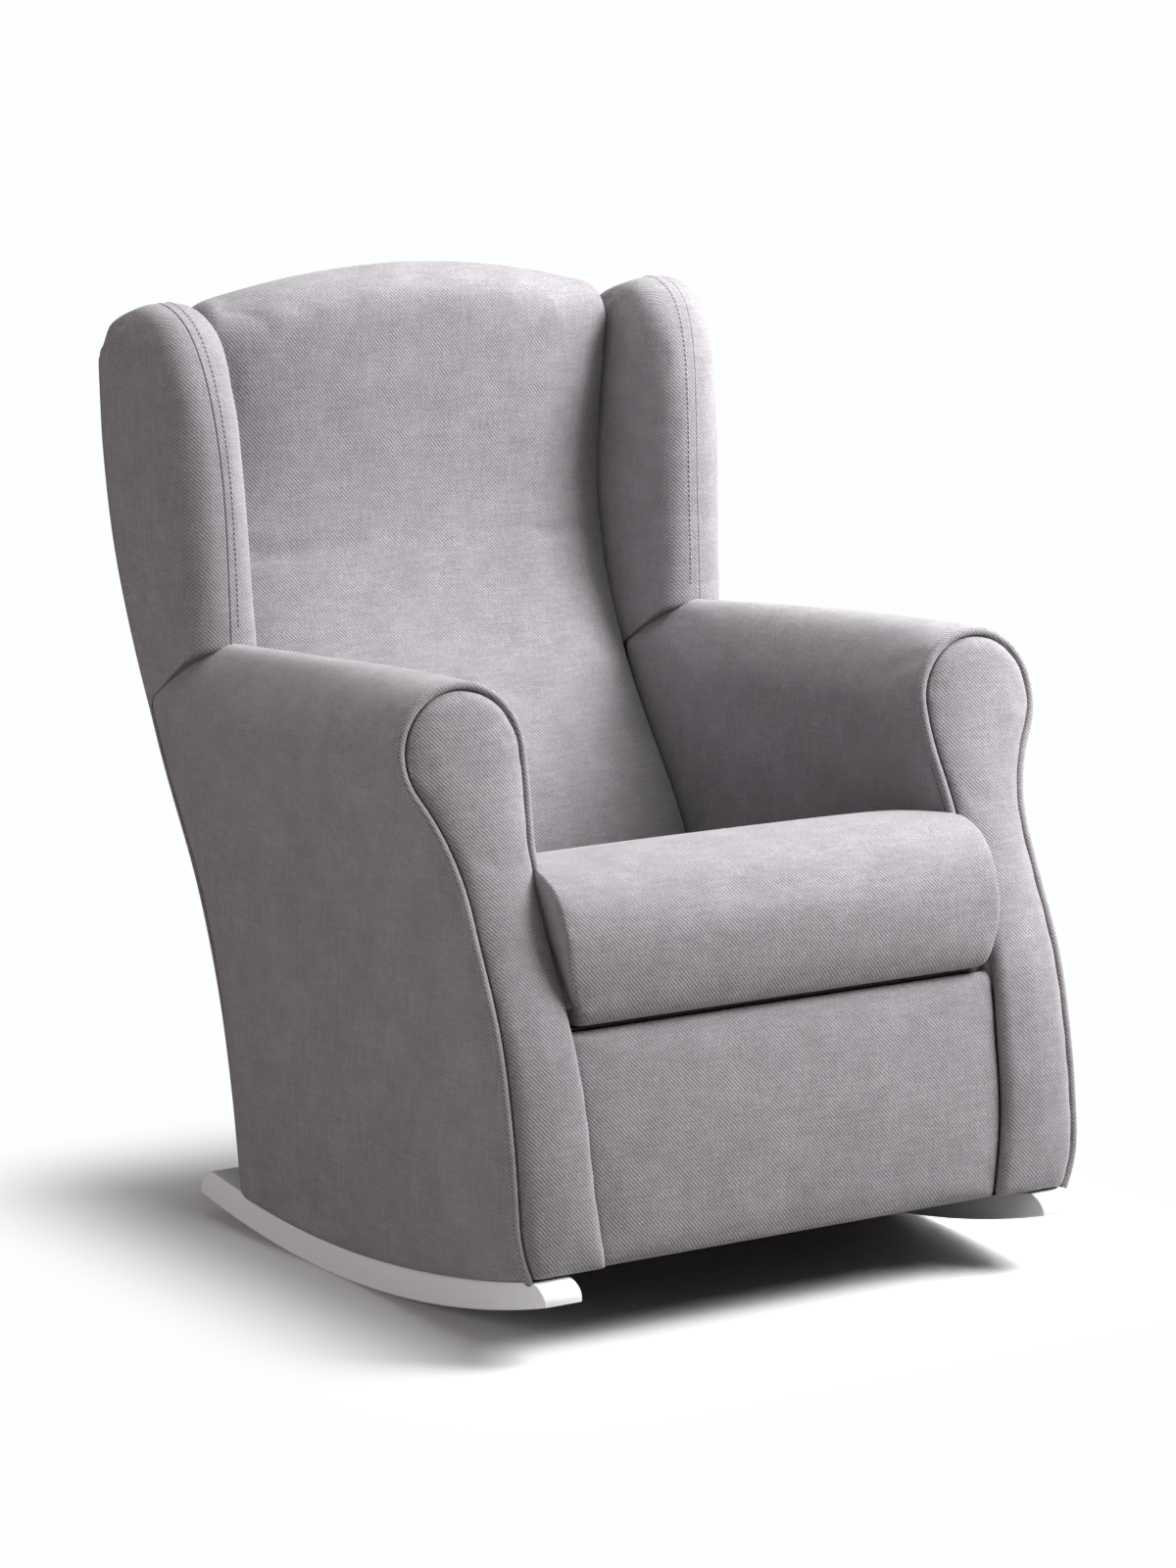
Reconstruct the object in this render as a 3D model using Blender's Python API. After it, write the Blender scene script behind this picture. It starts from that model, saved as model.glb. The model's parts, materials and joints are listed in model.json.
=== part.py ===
"""A wing-back rocking armchair: timber frame, springs, padding and covers, on two curved runners.

The chair faces -Y, +X is the sitter's left, and the origin is on the floor under the middle of its box.
Side pieces are written for +X and made again for -X.
"""

import math

import bmesh
import bpy
import numpy as np

# ---------------------------------------------------------------- driving dimensions, in metres
WIDTH = 0.760  # over the rolled arms
DEPTH = 0.828  # runner tip to the back's rearmost line
HEIGHT = 0.980  # floor to the crown of the arched back

GAP = 0.0003  # between pieces that touch
STATION = 0.025  # every curved piece has its corners at these heights, so neighbours share their chords
PLAY = 0.0025  # between the loose cushion and each arm

RUNNER_WIDTH = 0.044
RUNNER_THICKNESS = 0.034
RUNNER_RADIUS = 1.41  # underside
RUNNER_TOP_RADIUS = 1.61
RUNNER_REST_Y = -0.004  # where the underside meets the floor
RUNNER_LENGTH_BEHIND = 0.258  # from there to the back tip
RUNNER_INSET = 0.011  # its outer face from the side cover
RUNNER_FACET = math.radians(2.5)  # one flat of the underside
RUNNER_TIP_RUN = 0.026  # how far the top rounds down at each tip
RUNNER_TIP_EDGE = 0.003

BASE_INSET = 0.022  # runner tip to the foot of the arm's front
BASE_DEPTH = 0.545  # foot of the arm's front to foot of the back
BASE_CLEARANCE = 0.080  # underside of the front border
ARM_SWEEP = 0.150  # how far the arm's front leans back from foot to roll
ARM_TOP = 0.6255  # crown of the facing
ROLL_RADIUS = 0.0725  # over the cover
ROLL_OVERHANG = 0.049  # roll's outside past the side cover
ROLL_DROP = 0.025  # crown of the arm, front to wing
NECK_RADIUS = 0.200  # hollow under the roll's outside
ARM_THICKNESS = 0.0855
ARM_PAD_SETBACK = 0.0015
NECK_DROP = 0.008  # arm pad's outer hem below the arm rail
NECK_STEP = 0.002
WELT_RADIUS = 0.0045
WELT_SEAT = 0.0012  # between the welt and what it lies against

WING_TOP_DROP = 0.024  # wing's top below the back's crown
WING_REACH = 0.191  # wing's front to the back's rearmost line
WING_DRAWN = 0.191  # the reach that the wing's outline is drawn for
WING_SPLAY = 0.014  # how far the wings lean out at the top
WING_SEAM_IN = 0.039  # seam round the wing from its outer face
WING_BOARD = 0.018
WING_PADDING = 0.030
WING_EDGE_IN = 0.036  # how far its inside face is rounded in from its edge
WING_CORNER_FALL = 1.3  # how far the inner corner at the back falls for each unit of that
WING_END = 0.004  # between the ends of two of its edges
WING_ROOM = 0.003  # hollow past the board
WING_SEAM_SLOPE = 0.58  # fall of the seam between wing and arm, to the back
WING_SEAM_Z = 0.600  # its height at the wing's front
WING_LOW = 0.530  # its height at the back

ARCH_RISE = 0.037  # crown of the back over its shoulders
BACK_SIDE_GAP = 0.0055  # inside back to each arm's inner face, at their middles
BACK_HALF = WIDTH / 2 - ROLL_OVERHANG - ARM_THICKNESS - BACK_SIDE_GAP
BACK_CROWN = 0.016
CREST_DEPTH = 0.018  # crest rail below the back's top edge
SHOULDER_DROP = 0.052  # back's top behind the wings, below the wings' top

SIDE_COVER = 0.0127
BACK_COVER = 0.0082
FACING_BULGE = 0.010
FACING_BACK = 0.0052
FACING_BOARD = 0.003
BORDER_RECESS = 0.003
BORDER_THICKNESS = 0.0095

SIDE_TIMBER = 0.034
BACK_TIMBER = 0.028
POST_DEPTH = 0.040
RAIL_THICKNESS = 0.032
FOOT_RAIL_TOP = 0.110
LOW_RAIL_HEIGHT = 0.040
ARM_RAIL_BOTTOM = 0.4978
ARM_RAIL_TOP = 0.575
SEAT_RAIL_HEIGHT = 0.060
STRAP = 0.002
STRAP_WIDTH = 0.050
STRAP_HEIGHTS = (0.440, 0.595, 0.700, 0.805)  # lower edges
DUST_CLOTH = 0.002

DECK_FRONT_Z = 0.3125  # seat deck at its front edge
DECK_SLOPE = math.radians(10.0)
DECK_CLOTH = 0.003
SPRING_WIRE = 0.0016  # radius
SPRING_COUNT = 4
SPRING_LOOPS = 11
SPRING_HALF_WIDTH = 0.024
SPRING_MARGIN = 0.060  # seat frame's width that no spring covers
SPRING_END_IN = 0.010  # spring's end from the rail's outer face
CORNER_BLOCK = 0.060
BLOCK_LIFT = 0.004  # corner block above the seat rails' underside
BLOCK_HEIGHT = 0.030
LUMBAR_RISE = 0.075  # lumbar rail above the seat's back edge

CUSHION_FRONT_RISE = 0.172  # deck's front edge to where the cushion's front and top would meet
CUSHION_TOP_SLOPE = math.radians(13.5)
CUSHION_FRONT_ROUND = 0.125
CUSHION_LOW_ROUND = 0.012
CUSHION_BACK_ROUND = 0.030
CUSHION_CROWN = 0.003
CUSHION_FREE = 0.006  # cushion's back to the back pad
CUSHION_LIP = 0.024  # cushion's front edge behind the foot of the arm's front

BOLT_RADIUS = 0.004
BOLT_HEAD_RADIUS = 0.009
BOLT_HEAD = 0.005
BOLT_RECESS = 0.007
BOLT_TOP = 0.090
BOLT_PLACES = (-0.240, 0.080)

# ---------------------------------------------------------------- places that follow from them
FRONT_Y = -DEPTH / 2
BACK_Y = DEPTH / 2
BASE_FRONT_Y = FRONT_Y + BASE_INSET
BASE_BACK_Y = BASE_FRONT_Y + BASE_DEPTH
SIDE_X = WIDTH / 2 - ROLL_OVERHANG
ARM_IN_X = SIDE_X - ARM_THICKNESS
TIMBER_OUT_X = SIDE_X - SIDE_COVER - GAP
TIMBER_IN_X = TIMBER_OUT_X - SIDE_TIMBER
ROLL_X = WIDTH / 2 - ROLL_RADIUS
FACING_RADIUS = ROLL_RADIUS - 2 * WELT_RADIUS - WELT_SEAT
ROLL_Z = ARM_TOP - FACING_RADIUS
FACING_OUT_X = SIDE_X - 0.002
BOARD_MID_X = SIDE_X - WING_SEAM_IN
BOARD_IN_X = BOARD_MID_X - WING_BOARD / 2
BOARD_OUT_X = BOARD_MID_X + WING_BOARD / 2
SHOULDER_Z = HEIGHT - WING_TOP_DROP - SHOULDER_DROP
STRAP_Y = BACK_COVER + GAP + BACK_TIMBER + GAP  # depth of the straps' rear face from the back's outside
PAD_Y = STRAP_Y + STRAP + GAP
DECK_FRONT_Y = BASE_FRONT_Y + CUSHION_LIP
BEHIND_FACING = FACING_BACK + FACING_BOARD + 3 * GAP
COVER_BACK = BACK_COVER + GAP
WING_LOW_Z = STATION * math.floor(WING_LOW / STATION)


# ---------------------------------------------------------------- outlines
def curve_through(points):
    """A smooth y of x through the points."""
    xs, ys = np.array(points, float).T
    slopes = np.gradient(ys, xs)

    def at(x):
        i = int(np.clip(np.searchsorted(xs, x) - 1, 0, len(xs) - 2))
        h = xs[i + 1] - xs[i]
        t = min(max((x - xs[i]) / h, 0.0), 1.0)
        low = (2 * t**3 - 3 * t**2 + 1) * ys[i] + (t**3 - 2 * t**2 + t) * h * slopes[i]
        high = (3 * t**2 - 2 * t**3) * ys[i + 1] + (t**3 - t**2) * h * slopes[i + 1]
        return float(low + high)

    return at


def spline(points, per_leg):
    """Points of a smooth open curve through these, per_leg to each leg."""
    p = np.array([points[0], *points, points[-1]], float)
    out = []
    for i in range(1, len(p) - 2):
        for t in np.linspace(0, 1, per_leg, endpoint=False):
            a = 2 * p[i] + (p[i + 1] - p[i - 1]) * t
            b = (2 * p[i - 1] - 5 * p[i] + 4 * p[i + 1] - p[i + 2]) * t**2
            c = (3 * p[i] - p[i - 1] - 3 * p[i + 1] + p[i + 2]) * t**3
            out.append(tuple((a + b + c) / 2))
    return out + [tuple(p[-2])]


def inset(outline, amount):
    """A closed outline moved inwards; the outline runs anticlockwise."""
    moved = []
    for before, here, after in zip([outline[-1], *outline[:-1]], outline, [*outline[1:], outline[0]]):
        a = np.subtract(here, before)
        b = np.subtract(after, here)
        normal_a = np.array([-a[1], a[0]]) / np.hypot(*a)
        normal_b = np.array([-b[1], b[0]]) / np.hypot(*b)
        middle = normal_a + normal_b
        moved.append(tuple(np.array(here) + middle * amount * 2 / max(middle @ middle, 1.0)))
    return moved


# Foot to roll: share of the arm's height, share of the sweep left to the front.
ARM_FRONT = curve_through(
    [(0.0, 1.0), (0.2, 0.985), (0.36, 0.905), (0.5, 0.765)]
    + [(0.64, 0.5), (0.77, 0.255), (0.9, 0.075), (1.02, 0.0)]
)
# Foot to crown: share of the height, share of the lean to the back.
BACK_REAR = curve_through(
    [(0.05, 0.0), (0.16, 0.07), (0.26, 0.165), (0.36, 0.315), (0.5, 0.622)]
    + [(0.6, 0.80), (0.7, 0.93), (0.83, 1.0), (1.0, 0.975)]
)
# Share of the height, depth of the padded back at its sides.
BACK_THICKNESS = curve_through(
    [(0.28, 0.070), (0.45, 0.072), (0.56, 0.058), (0.65, 0.050)]
    + [(0.74, 0.053), (0.84, 0.066), (0.95, 0.072), (1.0, 0.072)]
)
# Share of the facing's height up to its roll, how far its inner edge stands in from the arm's inner face.
FACING_IN = curve_through(
    [(0.0, -0.0095), (0.16, 0.0005), (0.34, 0.0035), (0.52, 0.009), (0.78, 0.0095), (1.0, 0.004)]
)


def by_station(curve):
    """The curve as straight chords between stations."""

    def at(z):
        low = math.floor(z / STATION) * STATION
        share = (z - low) / STATION
        return curve(low) * (1 - share) + curve(low + STATION) * share

    return at


@by_station
def front_y(z):
    """The arm's front at a height: an S that stands upright at the foot and at the roll."""
    return BASE_FRONT_Y + ARM_SWEEP * (1 - ARM_FRONT(z / ARM_TOP))


@by_station
def rear_y(z):
    """The back's outside at a height."""
    return BASE_BACK_Y + (BACK_Y - BASE_BACK_Y) * min(BACK_REAR(z / HEIGHT), 1.0)


@by_station
def runner_high(y):
    """The runner's top at a depth."""
    drop = math.sqrt(RUNNER_TOP_RADIUS**2 - (y - RUNNER_REST_Y) ** 2)
    return RUNNER_THICKNESS + RUNNER_TOP_RADIUS - drop


def splay(z):
    """How far the wings and the back's sides lean out at a height."""
    return WING_SPLAY * max(z - WING_LOW_Z, 0.0) / (HEIGHT - WING_TOP_DROP - WING_LOW_Z)


def runner_low(y):
    return RUNNER_RADIUS - math.sqrt(RUNNER_RADIUS**2 - (y - RUNNER_REST_Y) ** 2)


def deck_z(y):
    return DECK_FRONT_Z - math.tan(DECK_SLOPE) * (y - DECK_FRONT_Y)


def arch_z(x):
    """The back's top edge across its width."""
    radius = (BACK_HALF**2 + ARCH_RISE**2) / (2 * ARCH_RISE)
    reach = min(abs(x), BACK_HALF)
    return HEIGHT - radius + math.sqrt(radius**2 - reach**2)


def wing_seam_z(y):
    """The seam between wing and arm, which falls to the back."""
    return WING_SEAM_Z - WING_SEAM_SLOPE * (y - (BACK_Y - WING_REACH))


def wing_seam_y(z):
    return BACK_Y - WING_REACH + (WING_SEAM_Z - z) / WING_SEAM_SLOPE


def facing_outer_x(z):
    """The facing's outer edge: the roll's circle, then a hollow that runs into the side."""
    across = FACING_OUT_X + NECK_RADIUS - ROLL_X
    neck_z = ROLL_Z - math.sqrt((NECK_RADIUS + FACING_RADIUS) ** 2 - across**2)
    meet_z = ROLL_Z - FACING_RADIUS * (ROLL_Z - neck_z) / (NECK_RADIUS + FACING_RADIUS)
    if z >= meet_z:
        return ROLL_X + math.sqrt(max(FACING_RADIUS**2 - (z - ROLL_Z) ** 2, 0.0))
    if z > neck_z:
        return FACING_OUT_X + NECK_RADIUS - math.sqrt(NECK_RADIUS**2 - (z - neck_z) ** 2)
    foot = max(0.0, 1 - (z - BASE_CLEARANCE) / 0.060)
    return FACING_OUT_X - 0.016 * foot**2


def facing_inner_x(z):
    """The facing's inner edge: nearly upright, then the roll's circle."""
    circle = ROLL_X - math.sqrt(max(FACING_RADIUS**2 - (z - ROLL_Z) ** 2, 0.0))
    if z >= ROLL_Z:
        return circle
    share = (z - BASE_CLEARANCE) / (ROLL_Z - BASE_CLEARANCE)
    upright = ARM_IN_X + FACING_IN(share)
    blend = max(0.0, 1 - (ROLL_Z - z) / (1.6 * FACING_RADIUS))
    return upright + (ROLL_X - FACING_RADIUS - upright) * blend**2 * (3 - 2 * blend)


# ---------------------------------------------------------------- making solids
def steps(low, high, size):
    """Even steps of at most this size, with both ends."""
    return [float(v) for v in np.linspace(low, high, max(2, math.ceil((high - low) / size) + 1))]


def stations(low, high):
    """Both ends and every station between them."""
    first = math.floor(low / STATION) + 1
    inner = [i * STATION for i in range(first, math.ceil(high / STATION))]
    margin = STATION / 50
    return [low, *[z for z in inner if low + margin < z < high - margin], high]


def finish_object(name, mesh_maker, finish):
    """Builds a mesh object: closed, faces outwards, with its finish."""
    shape = bmesh.new()
    mesh_maker(shape)
    bmesh.ops.remove_doubles(shape, verts=shape.verts, dist=1e-6)
    bmesh.ops.recalc_face_normals(shape, faces=shape.faces)
    mesh = bpy.data.meshes.new(name)
    shape.to_mesh(mesh)
    shape.free()
    mesh.materials.append(finish)
    mesh.shade_smooth()
    mesh.set_sharp_from_angle(angle=math.radians(35))
    obj = bpy.data.objects.new(name, mesh)
    bpy.context.scene.collection.objects.link(obj)
    return obj


def loft(name, rings, finish):
    """A closed body through rings of equal count, with flat ends."""

    def make(shape):
        rows = [[shape.verts.new(point) for point in ring] for ring in rings]
        for low, high in zip(rows, rows[1:]):
            for i in range(len(low)):
                j = (i + 1) % len(low)
                shape.faces.new((low[i], low[j], high[j], high[i]))
        shape.faces.new(rows[0][::-1])
        shape.faces.new(rows[-1])

    return finish_object(name, make, finish)


def hooked(name, rows, finish):
    """A closed body from rows of paired lines, such as a cover and its lining, with strips for ends."""

    def make(shape):
        grid = [[[shape.verts.new(point) for point in line] for line in pair] for pair in rows]
        for (a, b), (c, d) in zip(grid, grid[1:]):
            for i in range(len(a) - 1):
                shape.faces.new((a[i], a[i + 1], c[i + 1], c[i]))
                shape.faces.new((b[i + 1], b[i], d[i], d[i + 1]))
            for i in (0, -1):
                shape.faces.new((a[i], c[i], d[i], b[i]))
        for a, b in (grid[0], grid[-1]):
            for i in range(len(a) - 1):
                shape.faces.new((a[i + 1], a[i], b[i], b[i + 1]))

    return finish_object(name, make, finish)


def plate(name, outline, low_x, high_x, finish):
    """An outline in YZ given thickness along X."""
    rings = [[(x, y, z) for y, z in outline] for x in (low_x, high_x)]
    return loft(name, rings, finish)


def block(name, low, high, finish):
    """A box between two corners."""
    ring = [(low[0], low[1]), (high[0], low[1]), (high[0], high[1]), (low[0], high[1])]
    return loft(name, [[(x, y, z) for x, y in ring] for z in (low[2], high[2])], finish)


def post(name, heights, low_x, high_x, low_y, high_y, finish, lean=None):
    """An upright whose front and back faces follow curves of the height."""
    rings = []
    for z in heights:
        shift = math.copysign(lean(z), low_x + high_x) if lean else 0.0
        a, b = low_x + shift, high_x + shift
        rings.append([(a, low_y(z), z), (b, low_y(z), z), (b, high_y(z), z), (a, high_y(z), z)])
    return loft(name, rings, finish)


def cut(obj, cutter):
    """Takes the cutter's shape out of a piece."""
    cutter.hide_render = True
    cutter.display_type = "WIRE"
    tool = obj.modifiers.new("cut_" + cutter.name, "BOOLEAN")
    tool.operation = "DIFFERENCE"
    tool.solver = "EXACT"
    tool.object = cutter


def sides():
    """Name ending and sign of each side: the sitter's left is +X."""
    return (("left", 1), ("right", -1))


def span(side, low, high):
    """An X range on one side, low end first."""
    return (side * low, side * high) if side > 0 else (side * high, side * low)


def material(name, colour, roughness, metallic=0.0):
    """A finish of one colour."""
    made = bpy.data.materials.new(name)
    made.use_nodes = True
    shader = made.node_tree.nodes["Principled BSDF"]
    shader.inputs["Base Color"].default_value = (*colour, 1.0)
    shader.inputs["Roughness"].default_value = roughness
    shader.inputs["Metallic"].default_value = metallic
    return made


def own(base, name):
    """A material of a piece's own, from one of the finishes."""
    made = FINISHES[base].copy()
    made.name = f"{name}_{base}"
    return made


# ---------------------------------------------------------------- base
def runner_outline():
    """Flats of one angle under an arc, the middle one level, and tips that round down from the top."""
    behind = math.asin(RUNNER_LENGTH_BEHIND / RUNNER_RADIUS)
    ahead = math.asin((RUNNER_REST_Y - FRONT_Y) / RUNNER_RADIUS)
    half = RUNNER_FACET / 2
    first = math.floor((-ahead + half) / RUNNER_FACET - 0.5) + 1
    last = math.ceil((behind - half) / RUNNER_FACET - 0.5)
    corners = [-ahead, *[half + i * RUNNER_FACET for i in range(first, last)], behind]
    lowest = RUNNER_RADIUS * (1 - math.cos(half))
    under = []
    for turn in corners:
        z = RUNNER_RADIUS * (1 - math.cos(turn)) - lowest
        under.append((RUNNER_REST_Y + RUNNER_RADIUS * math.sin(turn), z))
    back_y, front_tip_y = under[-1][0], under[0][0]
    top = []
    for end_y, way, tip_z in ((back_y, -1, under[-1][1]), (front_tip_y, 1, under[0][1])):
        start_y = end_y + way * RUNNER_TIP_RUN
        high = runner_high(start_y)
        rounding = []
        for turn in (0.0, 0.3, 0.6, 0.85, 1.0):
            y = end_y + way * RUNNER_TIP_RUN * (1 - math.sin(turn * math.pi / 2))
            fall = 1 - math.cos(turn * math.pi / 2)
            rounding.append((y, high + (tip_z + RUNNER_TIP_EDGE - high) * fall))
        top.append(rounding)
    middle = [(y, runner_high(y)) for y in stations(top[1][0][0], top[0][0][0])[1:-1]]
    return under + top[0][::-1] + middle[::-1] + top[1]


def bolt_shape(name, side, y, clearance, finish):
    """A bolt, or with a clearance the hole that it stands in: the head's counterbore runs out below."""
    mid_x = side * (SIDE_X - RUNNER_INSET - RUNNER_WIDTH / 2)
    head_z = runner_low(y) + BOLT_RECESS
    shank = BOLT_RADIUS + clearance
    head = BOLT_HEAD_RADIUS + clearance
    low = head_z - (RUNNER_THICKNESS if clearance else 0.0)
    neck = head_z + BOLT_HEAD + clearance
    profile = [(head, low), (head, neck), (shank, neck), (shank, BOLT_TOP + clearance)]
    turns = [i * math.tau / 12 for i in range(12)]
    rings = [[(mid_x + r * math.cos(t), y + r * math.sin(t), z) for t in turns] for r, z in profile]
    return loft(name, rings, finish)


def make_base():
    """Runners, the rails on top of them, and the bolts that go up through both."""
    outline = runner_outline()
    out_x = SIDE_X - RUNNER_INSET
    for ending, side in sides():
        low_x, high_x = span(side, out_x - RUNNER_WIDTH, out_x)
        runner = plate(f"runner_{ending}", outline, low_x, high_x, own("lacquered_beech", f"runner_{ending}"))
        low_x, high_x = span(side, TIMBER_IN_X, TIMBER_OUT_X)
        foot_front = front_y(FOOT_RAIL_TOP) + BEHIND_FACING
        foot_back = rear_y(RUNNER_THICKNESS) - COVER_BACK - GAP
        under = [(y, runner_high(y) + 2 * GAP) for y in stations(foot_front, foot_back)]
        foot = under + [(foot_back, FOOT_RAIL_TOP), (foot_front, FOOT_RAIL_TOP)]
        rail = plate(f"foot_rail_{ending}", foot, low_x, high_x, own("pine", f"foot_rail_{ending}"))
        for number, y in enumerate(BOLT_PLACES, 1):
            steel = own("zinc_steel", f"bolt_{ending}_{number}")
            bolt_shape(f"runner_bolt_{ending}_{number}", side, y, 0.0, steel)
            hole = bolt_shape(f"hole_{ending}_{number}", side, y, GAP, steel)
            cut(runner, hole)
            cut(rail, hole)


def make_side_frames():
    """Posts, arm rails, stiles and side rails; gives the depths where the seat frame starts and ends."""
    for ending, side in sides():
        low_x, high_x = span(side, TIMBER_IN_X, TIMBER_OUT_X)
        post(
            f"front_post_{ending}",
            stations(FOOT_RAIL_TOP + GAP, ARM_RAIL_BOTTOM - GAP),
            low_x,
            high_x,
            lambda z: front_y(z) + BEHIND_FACING,
            lambda z: front_y(z) + BEHIND_FACING + POST_DEPTH,
            own("pine", f"front_post_{ending}"),
        )
        post(
            f"arm_rail_{ending}",
            stations(ARM_RAIL_BOTTOM, ARM_RAIL_TOP),
            low_x,
            high_x,
            lambda z: front_y(z) + BEHIND_FACING,
            lambda z: rear_y(z) - STRAP_Y,
            own("pine", f"arm_rail_{ending}"),
        )
        post(
            f"back_stile_{ending}",
            stations(FOOT_RAIL_TOP + GAP, SHOULDER_Z - WING_PADDING - 0.010),
            low_x,
            high_x,
            lambda z: rear_y(z) - STRAP_Y + GAP,
            lambda z: rear_y(z) - COVER_BACK,
            own("pine", f"back_stile_{ending}"),
            splay,
        )
        low_x, high_x = span(side, ARM_IN_X, TIMBER_IN_X - GAP)
        front = front_y(DECK_FRONT_Z) + BORDER_RECESS + BORDER_THICKNESS + 4 * GAP
        back = rear_y(deck_z(BASE_BACK_Y)) - STRAP_Y - STRAP - 2 * GAP
        top = [(y, deck_z(y) - DECK_CLOTH - 2 * GAP) for y in (back, front)]
        low = [(y, z - SEAT_RAIL_HEIGHT) for y, z in top[::-1]]
        plate(f"seat_side_rail_{ending}", low + top, low_x, high_x, own("pine", f"seat_side_rail_{ending}"))
    return front, back


def make_cross_rails(seat_front, seat_back):
    """The rails that join the two side frames."""
    inside = ARM_IN_X - GAP
    under_springs = DECK_CLOTH + 2 * SPRING_WIRE + 4 * GAP
    for name, y0, y1 in (
        ("seat_front_rail", seat_front, seat_front + RAIL_THICKNESS),
        ("seat_back_rail", seat_back - RAIL_THICKNESS, seat_back),
    ):
        high = [(y, deck_z(y) - under_springs) for y in (y1, y0)]
        low = [(y, z - SEAT_RAIL_HEIGHT + under_springs) for y, z in high[::-1]]
        plate(name, low + high, -inside, inside, own("pine", name))
    reach = TIMBER_IN_X - GAP
    low_z = BASE_CLEARANCE + DUST_CLOTH + 2 * GAP
    heights = stations(low_z, low_z + LOW_RAIL_HEIGHT)
    front_face = BORDER_RECESS + BORDER_THICKNESS + 3 * GAP
    inner_reach = facing_inner_x(BASE_CLEARANCE) - 4 * GAP
    post(
        "low_front_rail",
        heights,
        -inner_reach,
        inner_reach,
        lambda z: front_y(z) + front_face,
        lambda z: front_y(z) + front_face + RAIL_THICKNESS,
        own("pine", "low_front_rail"),
    )
    post(
        "low_back_rail",
        heights,
        -reach,
        reach,
        lambda z: rear_y(z) - STRAP_Y + GAP,
        lambda z: rear_y(z) - COVER_BACK,
        own("pine", "low_back_rail"),
    )
    post(
        "lumbar_rail",
        stations(deck_z(seat_back) + LUMBAR_RISE, deck_z(seat_back) + LUMBAR_RISE + SEAT_RAIL_HEIGHT),
        -reach,
        reach,
        lambda z: rear_y(z) - STRAP_Y + GAP,
        lambda z: rear_y(z) - COVER_BACK,
        own("pine", "lumbar_rail"),
    )
    rings = []
    end_top = SHOULDER_Z - WING_PADDING
    heights = stations(end_top - SEAT_RAIL_HEIGHT, HEIGHT - CREST_DEPTH)
    rear = min(rear_y(z) for z in heights) - COVER_BACK
    front = max(rear_y(z) for z in heights) - STRAP_Y + GAP
    for x in [-reach, -BACK_HALF - 0.004, *steps(-BACK_HALF, BACK_HALF, 0.08), BACK_HALF + 0.004, reach]:
        high = arch_z(x) - CREST_DEPTH if abs(x) <= BACK_HALF else end_top
        low = high - SEAT_RAIL_HEIGHT
        rings.append([(x, front, low), (x, rear, low), (x, rear, high), (x, front, high)])
    loft("crest_rail", rings, own("pine", "crest_rail"))


def make_corner_blocks(seat_front, seat_back):
    """A triangular block glued into each corner of the seat frame."""
    inside = ARM_IN_X - 2 * GAP
    leg = CORNER_BLOCK
    for ending, side in sides():
        for place, corner_y, way in (
            ("front", seat_front + RAIL_THICKNESS + GAP, 1),
            ("back", seat_back - RAIL_THICKNESS - GAP, -1),
        ):
            reach_y = corner_y + way * leg
            points = [(side * inside, corner_y), (side * (inside - leg), corner_y), (side * inside, reach_y)]
            low = deck_z(corner_y) - SEAT_RAIL_HEIGHT + BLOCK_LIFT
            rings = [[(x, y, z) for x, y in points] for z in (low, low + BLOCK_HEIGHT)]
            loft(f"corner_block_{place}_{ending}", rings, own("pine", f"corner_block_{place}_{ending}"))


def make_springs(seat_front, seat_back):
    """Zigzag springs from the front rail to the back rail, lying just under the deck cloth."""
    start = seat_front + SPRING_END_IN
    end = seat_back - SPRING_END_IN
    usable = 2 * ARM_IN_X - SPRING_MARGIN
    drop = DECK_CLOTH + SPRING_WIRE + 3 * GAP
    for number in range(SPRING_COUNT):
        mid_x = -usable / 2 + usable * (number + 0.5) / SPRING_COUNT
        curve = bpy.data.curves.new(f"seat_spring_{number + 1}", "CURVE")
        curve.dimensions = "3D"
        curve.bevel_depth = SPRING_WIRE
        curve.bevel_resolution = 1
        curve.use_fill_caps = True
        line = curve.splines.new("POLY")
        count = SPRING_LOOPS * 4 + 1
        line.points.add(count - 1)
        for i in range(count):
            share = i / (count - 1)
            y = start + (end - start) * share
            swing = math.sin(share * SPRING_LOOPS * math.pi)
            x = mid_x + SPRING_HALF_WIDTH * math.copysign(abs(swing) ** 0.7, swing)
            line.points[i].co = (x, y, deck_z(y) - drop, 1.0)
        obj = bpy.data.objects.new(curve.name, curve)
        bpy.context.scene.collection.objects.link(obj)
        curve.materials.append(own("spring_steel", curve.name))


def make_straps():
    """Elastic webbing across the back, tacked to the stiles' front faces."""
    for number, low in enumerate(STRAP_HEIGHTS, 1):
        rings = []
        for z in stations(low, low + STRAP_WIDTH):
            half = TIMBER_OUT_X - 0.008 + splay(z)
            rear = rear_y(z) - STRAP_Y
            front = rear - STRAP
            rings.append([(-half, front, z), (half, front, z), (half, rear, z), (-half, rear, z)])
        loft(f"back_strap_{number}", rings, own("webbing", f"back_strap_{number}"))


def make_deck(seat_front, seat_back):
    """The cloth over the springs and the one under the base."""
    half = TIMBER_IN_X - GAP
    rings = []
    for x in (-half, half):
        top = [(x, y, deck_z(y) - GAP) for y in (seat_back, seat_front)]
        rings.append([(x, y, z - DECK_CLOTH) for _, y, z in top[::-1]] + top)
    loft("deck_cloth", rings, own("deck_cloth", "seat"))
    low = (-half, front_y(BASE_CLEARANCE) + BORDER_RECESS + BORDER_THICKNESS + 4 * GAP, BASE_CLEARANCE)
    high = (half, rear_y(BASE_CLEARANCE) - COVER_BACK - GAP, BASE_CLEARANCE + DUST_CLOTH)
    block("dust_cloth", low, high, own("dust_cloth", "base"))


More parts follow.
